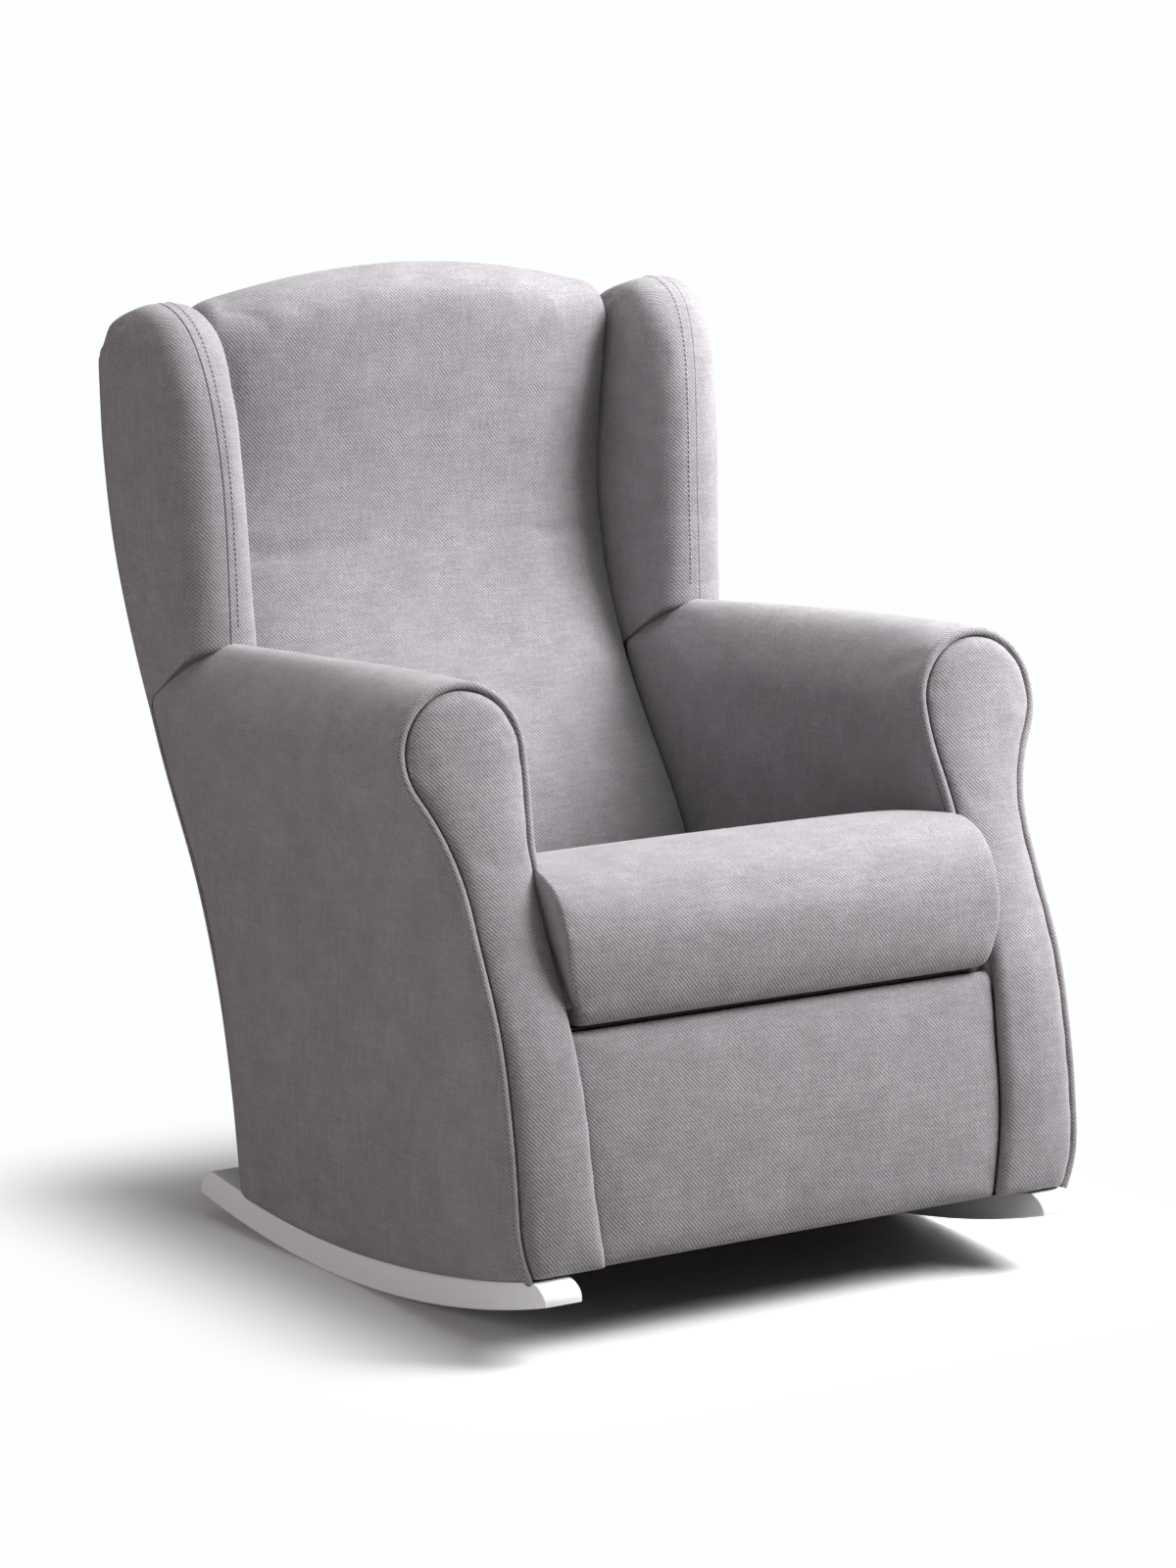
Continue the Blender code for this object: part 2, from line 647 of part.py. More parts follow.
# ---------------------------------------------------------------- covers and padding
def wing_edge():
    """The wing's front and top edge in YZ, from the arm seam up and over to the back's outside."""
    nose = BACK_Y - WING_REACH
    top = HEIGHT - WING_TOP_DROP
    rise = top - WING_SEAM_Z
    deep = WING_REACH / WING_DRAWN
    points = [
        (nose, wing_seam_z(nose) + GAP),
        (nose + 0.006 * deep, WING_SEAM_Z + 0.24 * rise),
        (nose + 0.014 * deep, WING_SEAM_Z + 0.55 * rise),
        (nose + 0.030 * deep, WING_SEAM_Z + 0.79 * rise),
        (nose + 0.058 * deep, WING_SEAM_Z + 0.94 * rise),
        (nose + 0.106 * deep, top),
        (nose + 0.152 * deep, top - 0.016),
        (rear_y(SHOULDER_Z), SHOULDER_Z),
    ]
    return spline(points, 3)


def wing_ring(depth, amount):
    """The wing in YZ, anticlockwise from its lower back corner.

    Its back is at this depth from the back's outside, and its front and top edge is moved in by the amount.
    """
    whole = wing_edge()
    edge = [p for p in whole if p[0] < rear_y(p[1]) - depth - WING_END]
    nose = edge[0][0] + amount
    meet_z = float(np.interp(BACK_Y - depth, *zip(*whole)))
    end_z = meet_z - amount * WING_CORNER_FALL
    foot = WING_LOW_Z
    while wing_seam_y(foot) > rear_y(foot) - depth:
        foot += STATION / 50
    heights = [*stations(foot, meet_z - WING_EDGE_IN * WING_CORNER_FALL - WING_END), end_z]
    rear = [(rear_y(z) - depth, z + GAP) for z in heights]
    return [*rear, *inset(edge[::-1], amount)[1:-1], (nose, wing_seam_z(nose) + GAP)]


def wing_core(depth):
    """The space inside the wing's padding, in YZ: open to the arm and to the back."""
    around = inset(wing_edge()[::-1], depth)[1:-1]
    far_y, far_z = BACK_Y + 0.1, WING_LOW_Z - 0.1
    return [(far_y, far_z), (far_y, around[0][1]), *around, (around[-1][0], far_z)]


def splayed(rings, side):
    """Leans rings of side pieces out with the height, and puts them on their side."""
    return [[(side * (x + splay(z)), y, z) for x, y, z in ring] for ring in rings]


def wing_board_outline():
    """The board in YZ: inside the padding, down to the seam with the arm and to the arm rail."""
    depth = STRAP_Y + STRAP + 2 * GAP
    core = wing_core(WING_PADDING)[2:-1]
    edge = [(y, z) for y, z in core if y < rear_y(z) - depth - WING_END]
    behind = [z for y, z in core if y >= rear_y(z) - depth - WING_END]
    low_z = ARM_RAIL_TOP + GAP
    rear = [(rear_y(z) - depth, z) for z in stations(low_z, behind[-1] - WING_END)]
    nose = edge[-1][0]
    return [*rear, *edge, (nose, wing_seam_z(nose) + 2 * GAP), (wing_seam_y(low_z) + 2 * GAP, low_z)]


def make_wings():
    """Each wing: a board, the inside pad that wraps its edge to the seam, and the outside cover."""
    room = wing_core(WING_PADDING - GAP)
    board = wing_board_outline()
    # x, and how far the edge has rounded in there
    inner = [(ARM_IN_X, WING_EDGE_IN), (ARM_IN_X + 0.004, 0.020), (ARM_IN_X + 0.016, 0.006)]
    inner += [(ARM_IN_X + 0.032, 0.0), (BOARD_MID_X - GAP, 0.0)]
    outer = [(BOARD_MID_X + GAP, 0.0), (SIDE_X - 0.012, 0.002), (SIDE_X - 0.004, 0.009), (SIDE_X, 0.018)]
    for ending, side in sides():
        rings = [[(x, y, z) for y, z in wing_ring(STRAP_Y + STRAP + 2 * GAP, amount)] for x, amount in inner]
        cloth = own("upholstery_cloth", f"wing_pad_{ending}")
        pad = loft(f"wing_pad_{ending}", splayed(rings, side), cloth)
        rings = [[(x, y, z) for y, z in wing_ring(COVER_BACK, amount)] for x, amount in outer]
        cloth = own("upholstery_cloth", f"wing_cover_{ending}")
        cover = loft(f"wing_cover_{ending}", splayed(rings, side), cloth)
        past = SIDE_X + 0.1
        for piece, low_x, high_x in (
            (pad, BOARD_IN_X - WING_ROOM, past),
            (cover, -past, TIMBER_OUT_X + GAP),
        ):
            rings = [[(x, y, z) for y, z in room] for x in (low_x, high_x)]
            cut(piece, loft(f"room_{piece.name}", splayed(rings, side), own("pine", "room")))
        rings = [[(x, y, z) for y, z in board] for x in (BOARD_IN_X, BOARD_OUT_X)]
        loft(f"wing_board_{ending}", splayed(rings, side), own("plywood", f"wing_board_{ending}"))


def arm_section(share):
    """The arm pad's section from front (0) to wing (1): its cover and, point for point, its lining."""
    mid_x = ROLL_X + ((ARM_IN_X + SIDE_X) / 2 - ROLL_X) * share
    half = ROLL_RADIUS + (ARM_THICKNESS / 2 - ROLL_RADIUS) * share
    mid_z = ROLL_Z - ROLL_DROP * share
    neck_z = ARM_RAIL_BOTTOM - NECK_DROP
    wall = [None, *stations(DECK_FRONT_Z + STATION / 2, ROLL_Z - ROLL_DROP - STATION / 2)]
    cover, rail = [], []
    for z in wall:
        lean = 0.0 if z is None else max(ARM_IN_X - (facing_inner_x(z) - 2 * WELT_RADIUS - WELT_SEAT), 0.0)
        cover.append((ARM_IN_X - lean * (1 - share), z, "inside"))
        rail.append((TIMBER_IN_X - GAP, z, "inside"))
    turns = np.radians([180, 155, 130, 105, 80, 55, 30, 5, -18, -36])
    high = ARM_RAIL_TOP + GAP
    for number, turn in enumerate(turns):
        z = mid_z + ROLL_RADIUS * math.sin(turn)
        cover.append((mid_x + half * math.cos(turn), z, "inside" if number < 4 else "outside"))
    for place in (0.5, 1.0):
        rail.append((TIMBER_IN_X - GAP, wall[-1] + (high - wall[-1]) * place, "inside"))
    for place in (0.34, 0.67):
        rail.append((TIMBER_IN_X + (TIMBER_OUT_X - TIMBER_IN_X) * place, high, "inside"))
    for place in (0.0, 0.17, 0.34, 0.51, 0.68, 0.84):
        z = high + (neck_z - high) * place
        rail.append((TIMBER_OUT_X + GAP + splay(z) * share, z, "outside"))
    cover.append((SIDE_X + NECK_STEP * (1 - share), neck_z, "outside"))
    rail.append((TIMBER_OUT_X + GAP, neck_z, "outside"))
    return cover, rail


def make_arms():
    """Each arm's pad, hooked over its rail, and the cover of the side under it."""
    for ending, side in sides():
        rows = []
        for share in (0.0, 0.12, 0.3, 0.5, 0.7, 0.85, 1.0):
            pair = []
            for line in arm_section(share):
                points = []
                for x, z, place in line:
                    at = DECK_FRONT_Z if z is None else z
                    front = front_y(at) + BEHIND_FACING + ARM_PAD_SETBACK
                    depth = COVER_BACK + GAP if place == "outside" else STRAP_Y + STRAP + GAP
                    back = min(rear_y(at) - depth, wing_seam_y(at)) - 2 * GAP
                    if z is None:
                        back = rear_y(deck_z(BASE_BACK_Y)) - STRAP_Y - STRAP - 2 * GAP
                    y = front + (back - front) * share
                    points.append((side * x, y, deck_z(y) + GAP if z is None else z))
                pair.append(points)
            rows.append(pair)
        hooked(f"arm_pad_{ending}", rows, own("upholstery_cloth", f"arm_pad_{ending}"))

        neck_z = ARM_RAIL_BOTTOM - NECK_DROP - GAP
        front = [(front_y(z) + BEHIND_FACING, z) for z in stations(BASE_CLEARANCE + 0.008, neck_z)]
        back = [(rear_y(z) - COVER_BACK, z) for z in stations(runner_high(BASE_BACK_Y) + 0.002, neck_z)]
        under = [(y, runner_high(y) + 0.002) for y in stations(front[0][0], back[0][0])[1:-1]]
        low_x, high_x = span(side, TIMBER_OUT_X + GAP, SIDE_X)
        outline = under + back + front[::-1]
        plate(f"side_cover_{ending}", outline, low_x, high_x, own("upholstery_cloth", f"side_cover_{ending}"))


def facing_rings(low_y, high_y, margin, low_z, side):
    """Rings up the facing's keyhole outline, between two depths from the arm's front."""
    heights = steps(low_z, ROLL_Z - FACING_RADIUS * 0.9, 0.032)
    for turn in (-40, -20, 0, 20, 40, 57, 72, 84):
        heights.append(ROLL_Z + (FACING_RADIUS - margin) * math.sin(math.radians(turn)))
    rings = []
    for z in heights:
        a, b = facing_inner_x(z) + margin, facing_outer_x(z) - margin
        y = front_y(z)
        edge = (low_y + high_y) / 2 if margin < 0.001 else low_y
        rounding = min(0.012, (b - a) / 4)
        ring = [(a, high_y), (a, edge), (a + rounding, low_y), (b - rounding, low_y), (b, edge), (b, high_y)]
        rings.append([(side * px, y + py, z) for px, py in ring])
    return rings


def welt_path():
    """The welt's centre line round the facing: up its inner edge, over the roll, down the outside."""
    out = WELT_RADIUS + WELT_SEAT
    heights_up = steps(DECK_FRONT_Z + 0.03, ROLL_Z - 0.01, 0.03)
    inner = [(facing_inner_x(z) - out, z) for z in heights_up]
    turns = np.radians(np.arange(165, 0, -15))
    radius = FACING_RADIUS + out
    over = [(ROLL_X + radius * math.cos(t), ROLL_Z + radius * math.sin(t)) for t in turns]
    outer = []
    heights = steps(BASE_CLEARANCE + 0.012, ROLL_Z - 0.004, 0.022)[::-1]
    for z in heights:
        slope = (facing_outer_x(z + 0.002) - facing_outer_x(z - 0.002)) / 0.004
        size = math.hypot(1, slope)
        outer.append((facing_outer_x(z) + out / size, z - out * slope / size))
    return [(x, front_y(z) + WELT_RADIUS * 0.9, z) for x, z in inner + over + outer]


def make_facings():
    """Each arm's padded front, the board behind it and the welt round it."""
    for ending, side in sides():
        foot = BASE_CLEARANCE + 0.006
        rings = facing_rings(-FACING_BULGE, FACING_BACK, 0.0, foot, side)
        loft(f"facing_pad_{ending}", rings, own("upholstery_cloth", f"facing_pad_{ending}"))
        low = FACING_BACK + GAP
        rings = facing_rings(low, low + FACING_BOARD, 0.0015, foot, side)
        loft(f"facing_board_{ending}", rings, own("hardboard", f"facing_board_{ending}"))
        curve = bpy.data.curves.new(f"facing_welt_{ending}", "CURVE")
        curve.dimensions = "3D"
        curve.bevel_depth = WELT_RADIUS
        curve.bevel_resolution = 1
        curve.use_fill_caps = True
        points = welt_path()
        line = curve.splines.new("POLY")
        line.points.add(len(points) - 1)
        for spot, (x, y, z) in zip(line.points, points):
            spot.co = (side * x, y, z, 1.0)
        curve.materials.append(own("upholstery_cloth", curve.name))
        bpy.context.scene.collection.objects.link(bpy.data.objects.new(curve.name, curve))


def make_front_border():
    """The flat panel between the facings, under the cushion."""
    rings = []
    for z in stations(BASE_CLEARANCE + GAP, DECK_FRONT_Z - 0.011):
        half = facing_inner_x(z) - 3 * GAP
        y = front_y(z) + BORDER_RECESS
        back = y + BORDER_THICKNESS
        rings.append([(-half, y, z), (half, y, z), (half, back, z), (-half, back, z)])
    loft("front_border", rings, own("upholstery_cloth", "front_border"))


def make_back():
    """The padded inside back, hooked over the crest rail, and the flat outside back."""
    across = [place * BACK_HALF for place in np.linspace(-1, 1, 9)]

    def pad_ring(height_at, depth, fullness):
        front, rear = [], []
        for x in across:
            z = height_at(x)
            crown = BACK_CROWN * (1 - abs(x / BACK_HALF) ** 4)
            thick = (BACK_THICKNESS(z / HEIGHT) + crown - PAD_Y) * fullness + PAD_Y
            wide = x * (1 + splay(z) / BACK_HALF)
            front.append((wide, rear_y(z) - thick, z))
            rear.append((wide, rear_y(z) - depth, z))
        return front + rear[::-1]

    flat_top = STATION * math.floor((SHOULDER_Z - WING_PADDING) / STATION)

    def arch_share(share):
        return lambda x: flat_top + (arch_z(x) - flat_top) * share

    low_z = deck_z(BASE_BACK_Y - BACK_THICKNESS(0) - BACK_CROWN) + 4 * GAP
    rings = [pad_ring(lambda x, z=z: z, PAD_Y, 1.0) for z in stations(low_z, flat_top)]
    hook = 1 - (CREST_DEPTH - 3 * GAP) / (HEIGHT - flat_top)
    over = (1 - hook) / 4
    rings.append(pad_ring(arch_share(hook / 2), PAD_Y, 1.0))
    rings.append(pad_ring(arch_share(hook), PAD_Y, 0.97))
    rings.append(pad_ring(arch_share(hook), COVER_BACK, 0.97))
    rings.append(pad_ring(arch_share(hook + 2 * over), COVER_BACK, 0.82))
    rings.append(pad_ring(arch_share(hook + 3.3 * over), COVER_BACK, 0.55))
    rings.append(pad_ring(arch_share(1.0), COVER_BACK + 0.006, 0.15))
    loft("back_pad", rings, own("upholstery_cloth", "back_pad"))

    rings = []
    half = SIDE_X
    edge = BACK_HALF + 0.012
    for x in [-half, -edge, *steps(-BACK_HALF, BACK_HALF, 0.08), edge, half]:
        top = arch_z(x) - 0.008 if abs(x) <= BACK_HALF else SHOULDER_Z
        low_part = stations(BASE_CLEARANCE, flat_top)
        heights = low_part + [flat_top + (top - flat_top) * share for share in (0.25, 0.5, 0.75, 1.0)]
        rear = [(x * (1 + splay(z) / half), rear_y(z), z) for z in heights]
        front = [(px, y - BACK_COVER, z) for px, y, z in rear]
        rings.append(rear + front[::-1])
    loft("outside_back", rings, own("upholstery_cloth", "outside_back"))


def make_cushion():
    """The loose seat cushion: upright front, large round to the top, back along the back pad."""

    def pad_face(z):
        return rear_y(z) - BACK_THICKNESS(z / HEIGHT) - BACK_CROWN - CUSHION_FREE

    low_front = (DECK_FRONT_Y, DECK_FRONT_Z + GAP)
    low_back_y = pad_face(deck_z(BASE_BACK_Y)) - 0.004
    low_back = (low_back_y, deck_z(low_back_y) + GAP)
    top_front = (DECK_FRONT_Y + 0.006, DECK_FRONT_Z + CUSHION_FRONT_RISE)
    top_back_y = low_back_y
    for _ in range(9):
        top_back_z = top_front[1] - (top_back_y - top_front[0]) * math.tan(CUSHION_TOP_SLOPE)
        top_back_y = pad_face(top_back_z)
    top_back = (top_back_y, top_back_z)

    def rounded(before, corner, after, radius, count):
        a = np.subtract(before, corner) / np.hypot(*np.subtract(before, corner))
        b = np.subtract(after, corner) / np.hypot(*np.subtract(after, corner))
        start, end = np.array(corner) + a * radius, np.array(corner) + b * radius
        out = []
        for t in np.linspace(0, 1, count):
            out.append(tuple((1 - t) ** 2 * start + 2 * t * (1 - t) * np.array(corner) + t**2 * end))
        return out

    corners = [low_front, low_back, top_back, top_front]
    radii = [CUSHION_LOW_ROUND, CUSHION_LOW_ROUND, CUSHION_BACK_ROUND, CUSHION_FRONT_ROUND]
    outline = []
    for i, corner in enumerate(corners):
        count = 9 if radii[i] == CUSHION_FRONT_ROUND else 4
        outline += rounded(corners[i - 1], corner, corners[(i + 1) % 4], radii[i], count)
    middle = np.mean(outline, axis=0)
    half = ARM_IN_X - PLAY
    rings = []
    for share in (-1, -0.975, -0.8, -0.4, 0, 0.4, 0.8, 0.975, 1):
        ring = []
        pull = 2 * CUSHION_CROWN if abs(share) == 1 else 0.0
        swell = CUSHION_CROWN * (1 - share**2)
        for y, z in outline:
            above = z > deck_z(y) + 0.05
            out = np.subtract((y, z), middle)
            out = out / np.hypot(*out)
            move = (swell if above else 0.0) - pull
            if out[0] > 0.2 and move > 0:
                move = 0.0
            floor = deck_z(y + out[0] * move) + GAP
            ring.append((share * half, y + out[0] * move, max(z + out[1] * move, floor)))
        rings.append(ring)
    loft("seat_cushion", rings, own("upholstery_cloth", "seat_cushion"))


# ---------------------------------------------------------------- the chair
for old in list(bpy.data.objects):
    bpy.data.objects.remove(old)

FINISHES = {
    "upholstery_cloth": material("upholstery_cloth", (0.33, 0.31, 0.33), 0.95),
    "lacquered_beech": material("lacquered_beech", (0.80, 0.82, 0.84), 0.35),
    "pine": material("pine", (0.62, 0.43, 0.25), 0.7),
    "plywood": material("plywood", (0.60, 0.45, 0.28), 0.75),
    "hardboard": material("hardboard", (0.28, 0.18, 0.10), 0.8),
    "zinc_steel": material("zinc_steel", (0.60, 0.60, 0.58), 0.4, 1.0),
    "spring_steel": material("spring_steel", (0.12, 0.12, 0.13), 0.45, 1.0),
    "webbing": material("webbing", (0.10, 0.10, 0.10), 0.9),
    "deck_cloth": material("deck_cloth", (0.22, 0.21, 0.22), 0.95),
    "dust_cloth": material("dust_cloth", (0.02, 0.02, 0.02), 0.95),
}

make_base()
SEAT_FRONT, SEAT_BACK = make_side_frames()
make_cross_rails(SEAT_FRONT, SEAT_BACK)
make_corner_blocks(SEAT_FRONT, SEAT_BACK)
make_springs(SEAT_FRONT, SEAT_BACK)
make_straps()
make_deck(SEAT_FRONT, SEAT_BACK)
make_wings()
make_arms()
make_facings()
make_front_border()
make_back()
make_cushion()
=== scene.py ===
"""Looks of a wing-back rocking armchair: padded covers, piping, lacquered runners, studio.

The chair faces -Y, +X is the sitter's left, and lengths are in metres.
Side pieces are written for +X and made again for -X.
"""

import json
import math

import bmesh
import bpy
import numpy as np
from bpy.props import FloatProperty, FloatVectorProperty, IntProperty, PointerProperty
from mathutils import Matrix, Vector


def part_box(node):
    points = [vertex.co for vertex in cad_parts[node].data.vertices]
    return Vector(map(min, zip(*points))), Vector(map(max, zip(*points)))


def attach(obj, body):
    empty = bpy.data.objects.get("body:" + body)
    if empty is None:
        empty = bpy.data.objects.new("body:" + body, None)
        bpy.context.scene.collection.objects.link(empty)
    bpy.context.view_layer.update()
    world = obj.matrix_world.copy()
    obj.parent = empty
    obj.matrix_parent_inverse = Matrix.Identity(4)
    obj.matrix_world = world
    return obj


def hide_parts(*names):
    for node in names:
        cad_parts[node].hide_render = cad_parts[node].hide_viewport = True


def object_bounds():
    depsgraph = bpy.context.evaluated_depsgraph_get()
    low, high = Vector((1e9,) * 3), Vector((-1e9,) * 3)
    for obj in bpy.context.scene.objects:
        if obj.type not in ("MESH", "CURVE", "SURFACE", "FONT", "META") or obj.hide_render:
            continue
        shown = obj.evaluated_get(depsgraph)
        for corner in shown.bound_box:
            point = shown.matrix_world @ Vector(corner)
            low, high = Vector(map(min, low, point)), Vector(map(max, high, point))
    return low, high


bl_info = {
    "name": "Wing-back rocking armchair",
    "version": (1, 0, 0),
    "blender": (4, 5, 0),
    "location": "View3D > Sidebar > Armchair",
    "description": "Builds the covers, piping, runners and finishes of an upholstered rocking armchair",
    "category": "Add Mesh",
}

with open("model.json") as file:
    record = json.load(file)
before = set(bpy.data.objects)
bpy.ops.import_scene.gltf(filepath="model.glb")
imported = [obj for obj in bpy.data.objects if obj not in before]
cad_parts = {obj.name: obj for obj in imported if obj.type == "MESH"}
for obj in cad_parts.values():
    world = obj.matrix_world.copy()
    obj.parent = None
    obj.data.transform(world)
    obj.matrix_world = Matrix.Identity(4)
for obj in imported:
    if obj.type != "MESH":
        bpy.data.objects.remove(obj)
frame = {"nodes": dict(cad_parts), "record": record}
CAD_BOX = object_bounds()


def low(node):
    """The lower corner of a node's box."""
    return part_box(node)[0]


def high(node):
    """The upper corner of a node's box."""
    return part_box(node)[1]


# ---------------------------------------------------------------- sizes the frame gives
FRONT_Y = CAD_BOX[0].y  # the runners' tips
BACK_Y = CAD_BOX[1].y
HEIGHT = CAD_BOX[1].z
SIDE_X = high("side_cover_left").x
ARM_IN_X = low("seat_side_rail_left").x
TIMBER_OUT_X = high("arm_rail_left").x
TIMBER_IN_X = low("arm_rail_left").x
RAIL_TOP = high("arm_rail_left").z
BORDER_TOP = high("front_border").z
BORDER_FOOT = low("front_border").z
CUSHION_LOW, CUSHION_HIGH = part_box("seat_cushion")

# ---------------------------------------------------------------- sizes of the covers
BASE_INSET = 0.022  # runner tip to the foot of the arm's front
BASE_DEPTH = 0.545  # foot of the arm's front to foot of the back
BASE_FRONT_Y = FRONT_Y + BASE_INSET
BASE_BACK_Y = BASE_FRONT_Y + BASE_DEPTH
ARM_SWEEP = 0.150  # how far the arm's front leans back, foot to roll
ARM_TOP = 0.6255  # crown of the facing
ROLL_RADIUS = 0.0725
ROLL_X = CAD_BOX[1].x - ROLL_RADIUS
FACING_RADIUS = 0.0623
ROLL_Z = ARM_TOP - FACING_RADIUS
ROLL_DROP = 0.028  # crown of the arm, front to wing
NECK_RADIUS = 0.200  # hollow under the roll's outside
FACING_FOOT = BORDER_FOOT + 0.0016
SIDE_HEM = BORDER_FOOT + 0.004
WALL_FOOT = 0.285  # lower edge of the arm's inner wall, under the cushion
TUCK_DEPTH = 0.0395  # the back's rearmost line to where the arm's cover ends under its pad
BACK_COVER = 0.0085
WING_REACH = 0.191  # wing's front to the back's rearmost line
WING_SEAM_X = SIDE_X - 0.039
WING_TOP = HEIGHT - 0.029
WING_SPLAY = 0.014
WING_SPLAY_Z = 0.525  # where the wings start to lean out
WING_SEAM_Z = 0.600  # seam between wing and arm, at the wing's front
WING_SEAM_SLOPE = 0.68
WING_CORNER_Z = WING_TOP - 0.046  # wing's top at the back's outside
BACK_HALF = 0.2445
ARCH_HALF = 0.240
ARCH_RISE = 0.037
BACK_CROWN = 0.016
DECK_SLOPE = math.radians(10.0)
CUSHION_TOP_SLOPE = math.radians(13.5)
CUSHION_FRONT_RISE = 0.170  # deck's front edge to where the cushion's front and top would meet
DECK_FRONT = (CUSHION_LOW.y, 0.3125)  # y, z
RUNNER_REST_Y = -0.004  # where the runner's underside meets the floor
RUNNER_RADIUS = 1.41
RUNNER_TOP_RADIUS = 1.61
RUNNER_THICKNESS = 0.034
RUNNER_EASE = 0.0024  # rounding of the runner's long edges
STITCH = 0.00055  # thread's radius, a little over the real one so that it shows
GAP = 0.0006

# ---------------------------------------------------------------- mesh points
ARM_WALL_POINTS = 23
ARM_SIDE_POINTS = 39
WING_REAR_POINTS = 41
WING_TOP_POINTS = 14
WING_EDGE_POINTS = 50  # top and front together


def curve_through(points):
    """A smooth y of x through the points."""
    xs, ys = np.array(points, float).T
    slopes = np.gradient(ys, xs)

    def at(x):
        x = np.clip(np.asarray(x, float), xs[0], xs[-1])
        i = np.clip(np.searchsorted(xs, x) - 1, 0, len(xs) - 2)
        h = xs[i + 1] - xs[i]
        t = (x - xs[i]) / h
        first = (2 * t**3 - 3 * t**2 + 1) * ys[i] + (t**3 - 2 * t**2 + t) * h * slopes[i]
        second = (3 * t**2 - 2 * t**3) * ys[i + 1] + (t**3 - t**2) * h * slopes[i + 1]
        return first + second

    return at


# Foot to roll: share of the arm's height, share of the sweep left to the front.
ARM_FRONT = curve_through(
    [(0.0, 1.0), (0.2, 0.985), (0.36, 0.905), (0.5, 0.765), (0.64, 0.5), (0.77, 0.255), (0.9, 0.075),
     (1.02, 0.0)]
)
# Foot to crown: share of the height, share of the lean to the back.
BACK_REAR = curve_through(
    [(0.05, 0.0), (0.16, 0.07), (0.26, 0.165), (0.36, 0.315), (0.5, 0.622), (0.6, 0.80), (0.7, 0.93),
     (0.83, 1.0), (1.0, 0.975)]
)
# Share of the height, depth of the padded back at its sides.
BACK_THICKNESS = curve_through(
    [(0.28, 0.070), (0.45, 0.072), (0.56, 0.058), (0.65, 0.050), (0.74, 0.053), (0.84, 0.066), (0.95, 0.072),
     (1.0, 0.072)]
)
# Share of the facing's height up to its roll, how far its inner edge lies outside the arm's inner face.
FACING_IN = curve_through(
    [(0.0, -0.0095), (0.16, 0.0005), (0.34, 0.0035), (0.52, 0.009), (0.78, 0.0095), (1.0, 0.004)]
)


def front_y(z):
    """The arm's front at a height: upright at the foot, then leaning back to the roll."""
    return BASE_FRONT_Y + ARM_SWEEP * (1 - ARM_FRONT(np.asarray(z) / ARM_TOP))


def rear_y(z):
    """The back's rear face at a height."""
    return BASE_BACK_Y + (BACK_Y - BASE_BACK_Y) * np.minimum(BACK_REAR(np.asarray(z) / HEIGHT), 1.0)


def splay(z):
    """How far the wings and the back's sides lean out at a height."""
    return WING_SPLAY * np.maximum(np.asarray(z) - WING_SPLAY_Z, 0.0) / (WING_TOP - WING_SPLAY_Z)


def arch_z(x):
    """The back's top edge, with its corners rounded next to the wings."""
    radius = (ARCH_HALF**2 + ARCH_RISE**2) / (2 * ARCH_RISE)
    reach = np.minimum(np.abs(x), BACK_HALF)
    corner = 0.022  # radius of the rounding next to the wing
    past = np.clip((reach - (BACK_HALF - corner)) / corner, 0.0, 1.0)
    fall = corner * (1 - np.sqrt(1 - 0.96 * past**2))
    return HEIGHT - 0.0015 - radius + np.sqrt(radius**2 - np.minimum(reach, ARCH_HALF) ** 2) - fall


def wing_seam_z(y):
    """The seam between wing and arm: level round the wing's front, falling to the back."""
    past = np.maximum(np.asarray(y) - (BACK_Y - WING_REACH), 0.0)
    return WING_SEAM_Z + 0.0015 - WING_SEAM_SLOPE * past**2 / (past + 0.014)


def wing_seam_y(z):
    """The same seam's depth at a height; at the wing's front above it."""
    depths = np.linspace(BACK_Y - WING_REACH + 0.006, BACK_Y, 240)
    return np.interp(-np.asarray(z, float), -wing_seam_z(depths), depths)


def neck_height(radius, side_x):
    """Height of the hollow's centre under a roll of this radius, above a side at this x."""
    across = side_x + NECK_RADIUS - ROLL_X
    return ROLL_Z - math.sqrt((NECK_RADIUS + radius) ** 2 - across**2)


def facing_outer_x(z):
    """The facing's outer edge: the roll's circle, then a hollow that runs into the side."""
    z = np.asarray(z, float)
    side_x = SIDE_X - 0.002
    neck_z = neck_height(FACING_RADIUS, side_x)
    meet_z = ROLL_Z - FACING_RADIUS * (ROLL_Z - neck_z) / (NECK_RADIUS + FACING_RADIUS)
    circle = ROLL_X + np.sqrt(np.maximum(FACING_RADIUS**2 - (z - ROLL_Z) ** 2, 0.0))
    hollow = side_x + NECK_RADIUS - np.sqrt(np.maximum(NECK_RADIUS**2 - (z - neck_z) ** 2, 0.0))
    foot = np.maximum(0.0, 1 - (z - BORDER_FOOT) / 0.060)
    return np.where(z >= meet_z, circle, np.where(z > neck_z, hollow, side_x - 0.014 * foot**2))


def facing_inner_x(z):
    """The facing's inner edge: nearly upright, then the roll's circle."""
    z = np.asarray(z, float)
    circle = ROLL_X - np.sqrt(np.maximum(FACING_RADIUS**2 - (z - ROLL_Z) ** 2, 0.0))
    share = (z - BORDER_FOOT) / (ROLL_Z - BORDER_FOOT)
    upright = ARM_IN_X + FACING_IN(share)
    blend = np.clip(1 - (ROLL_Z - z) / (1.6 * FACING_RADIUS), 0.0, 1.0)
    lower = upright + (ROLL_X - FACING_RADIUS - upright) * blend**2 * (3 - 2 * blend)
    return np.where(z >= ROLL_Z, circle, lower)


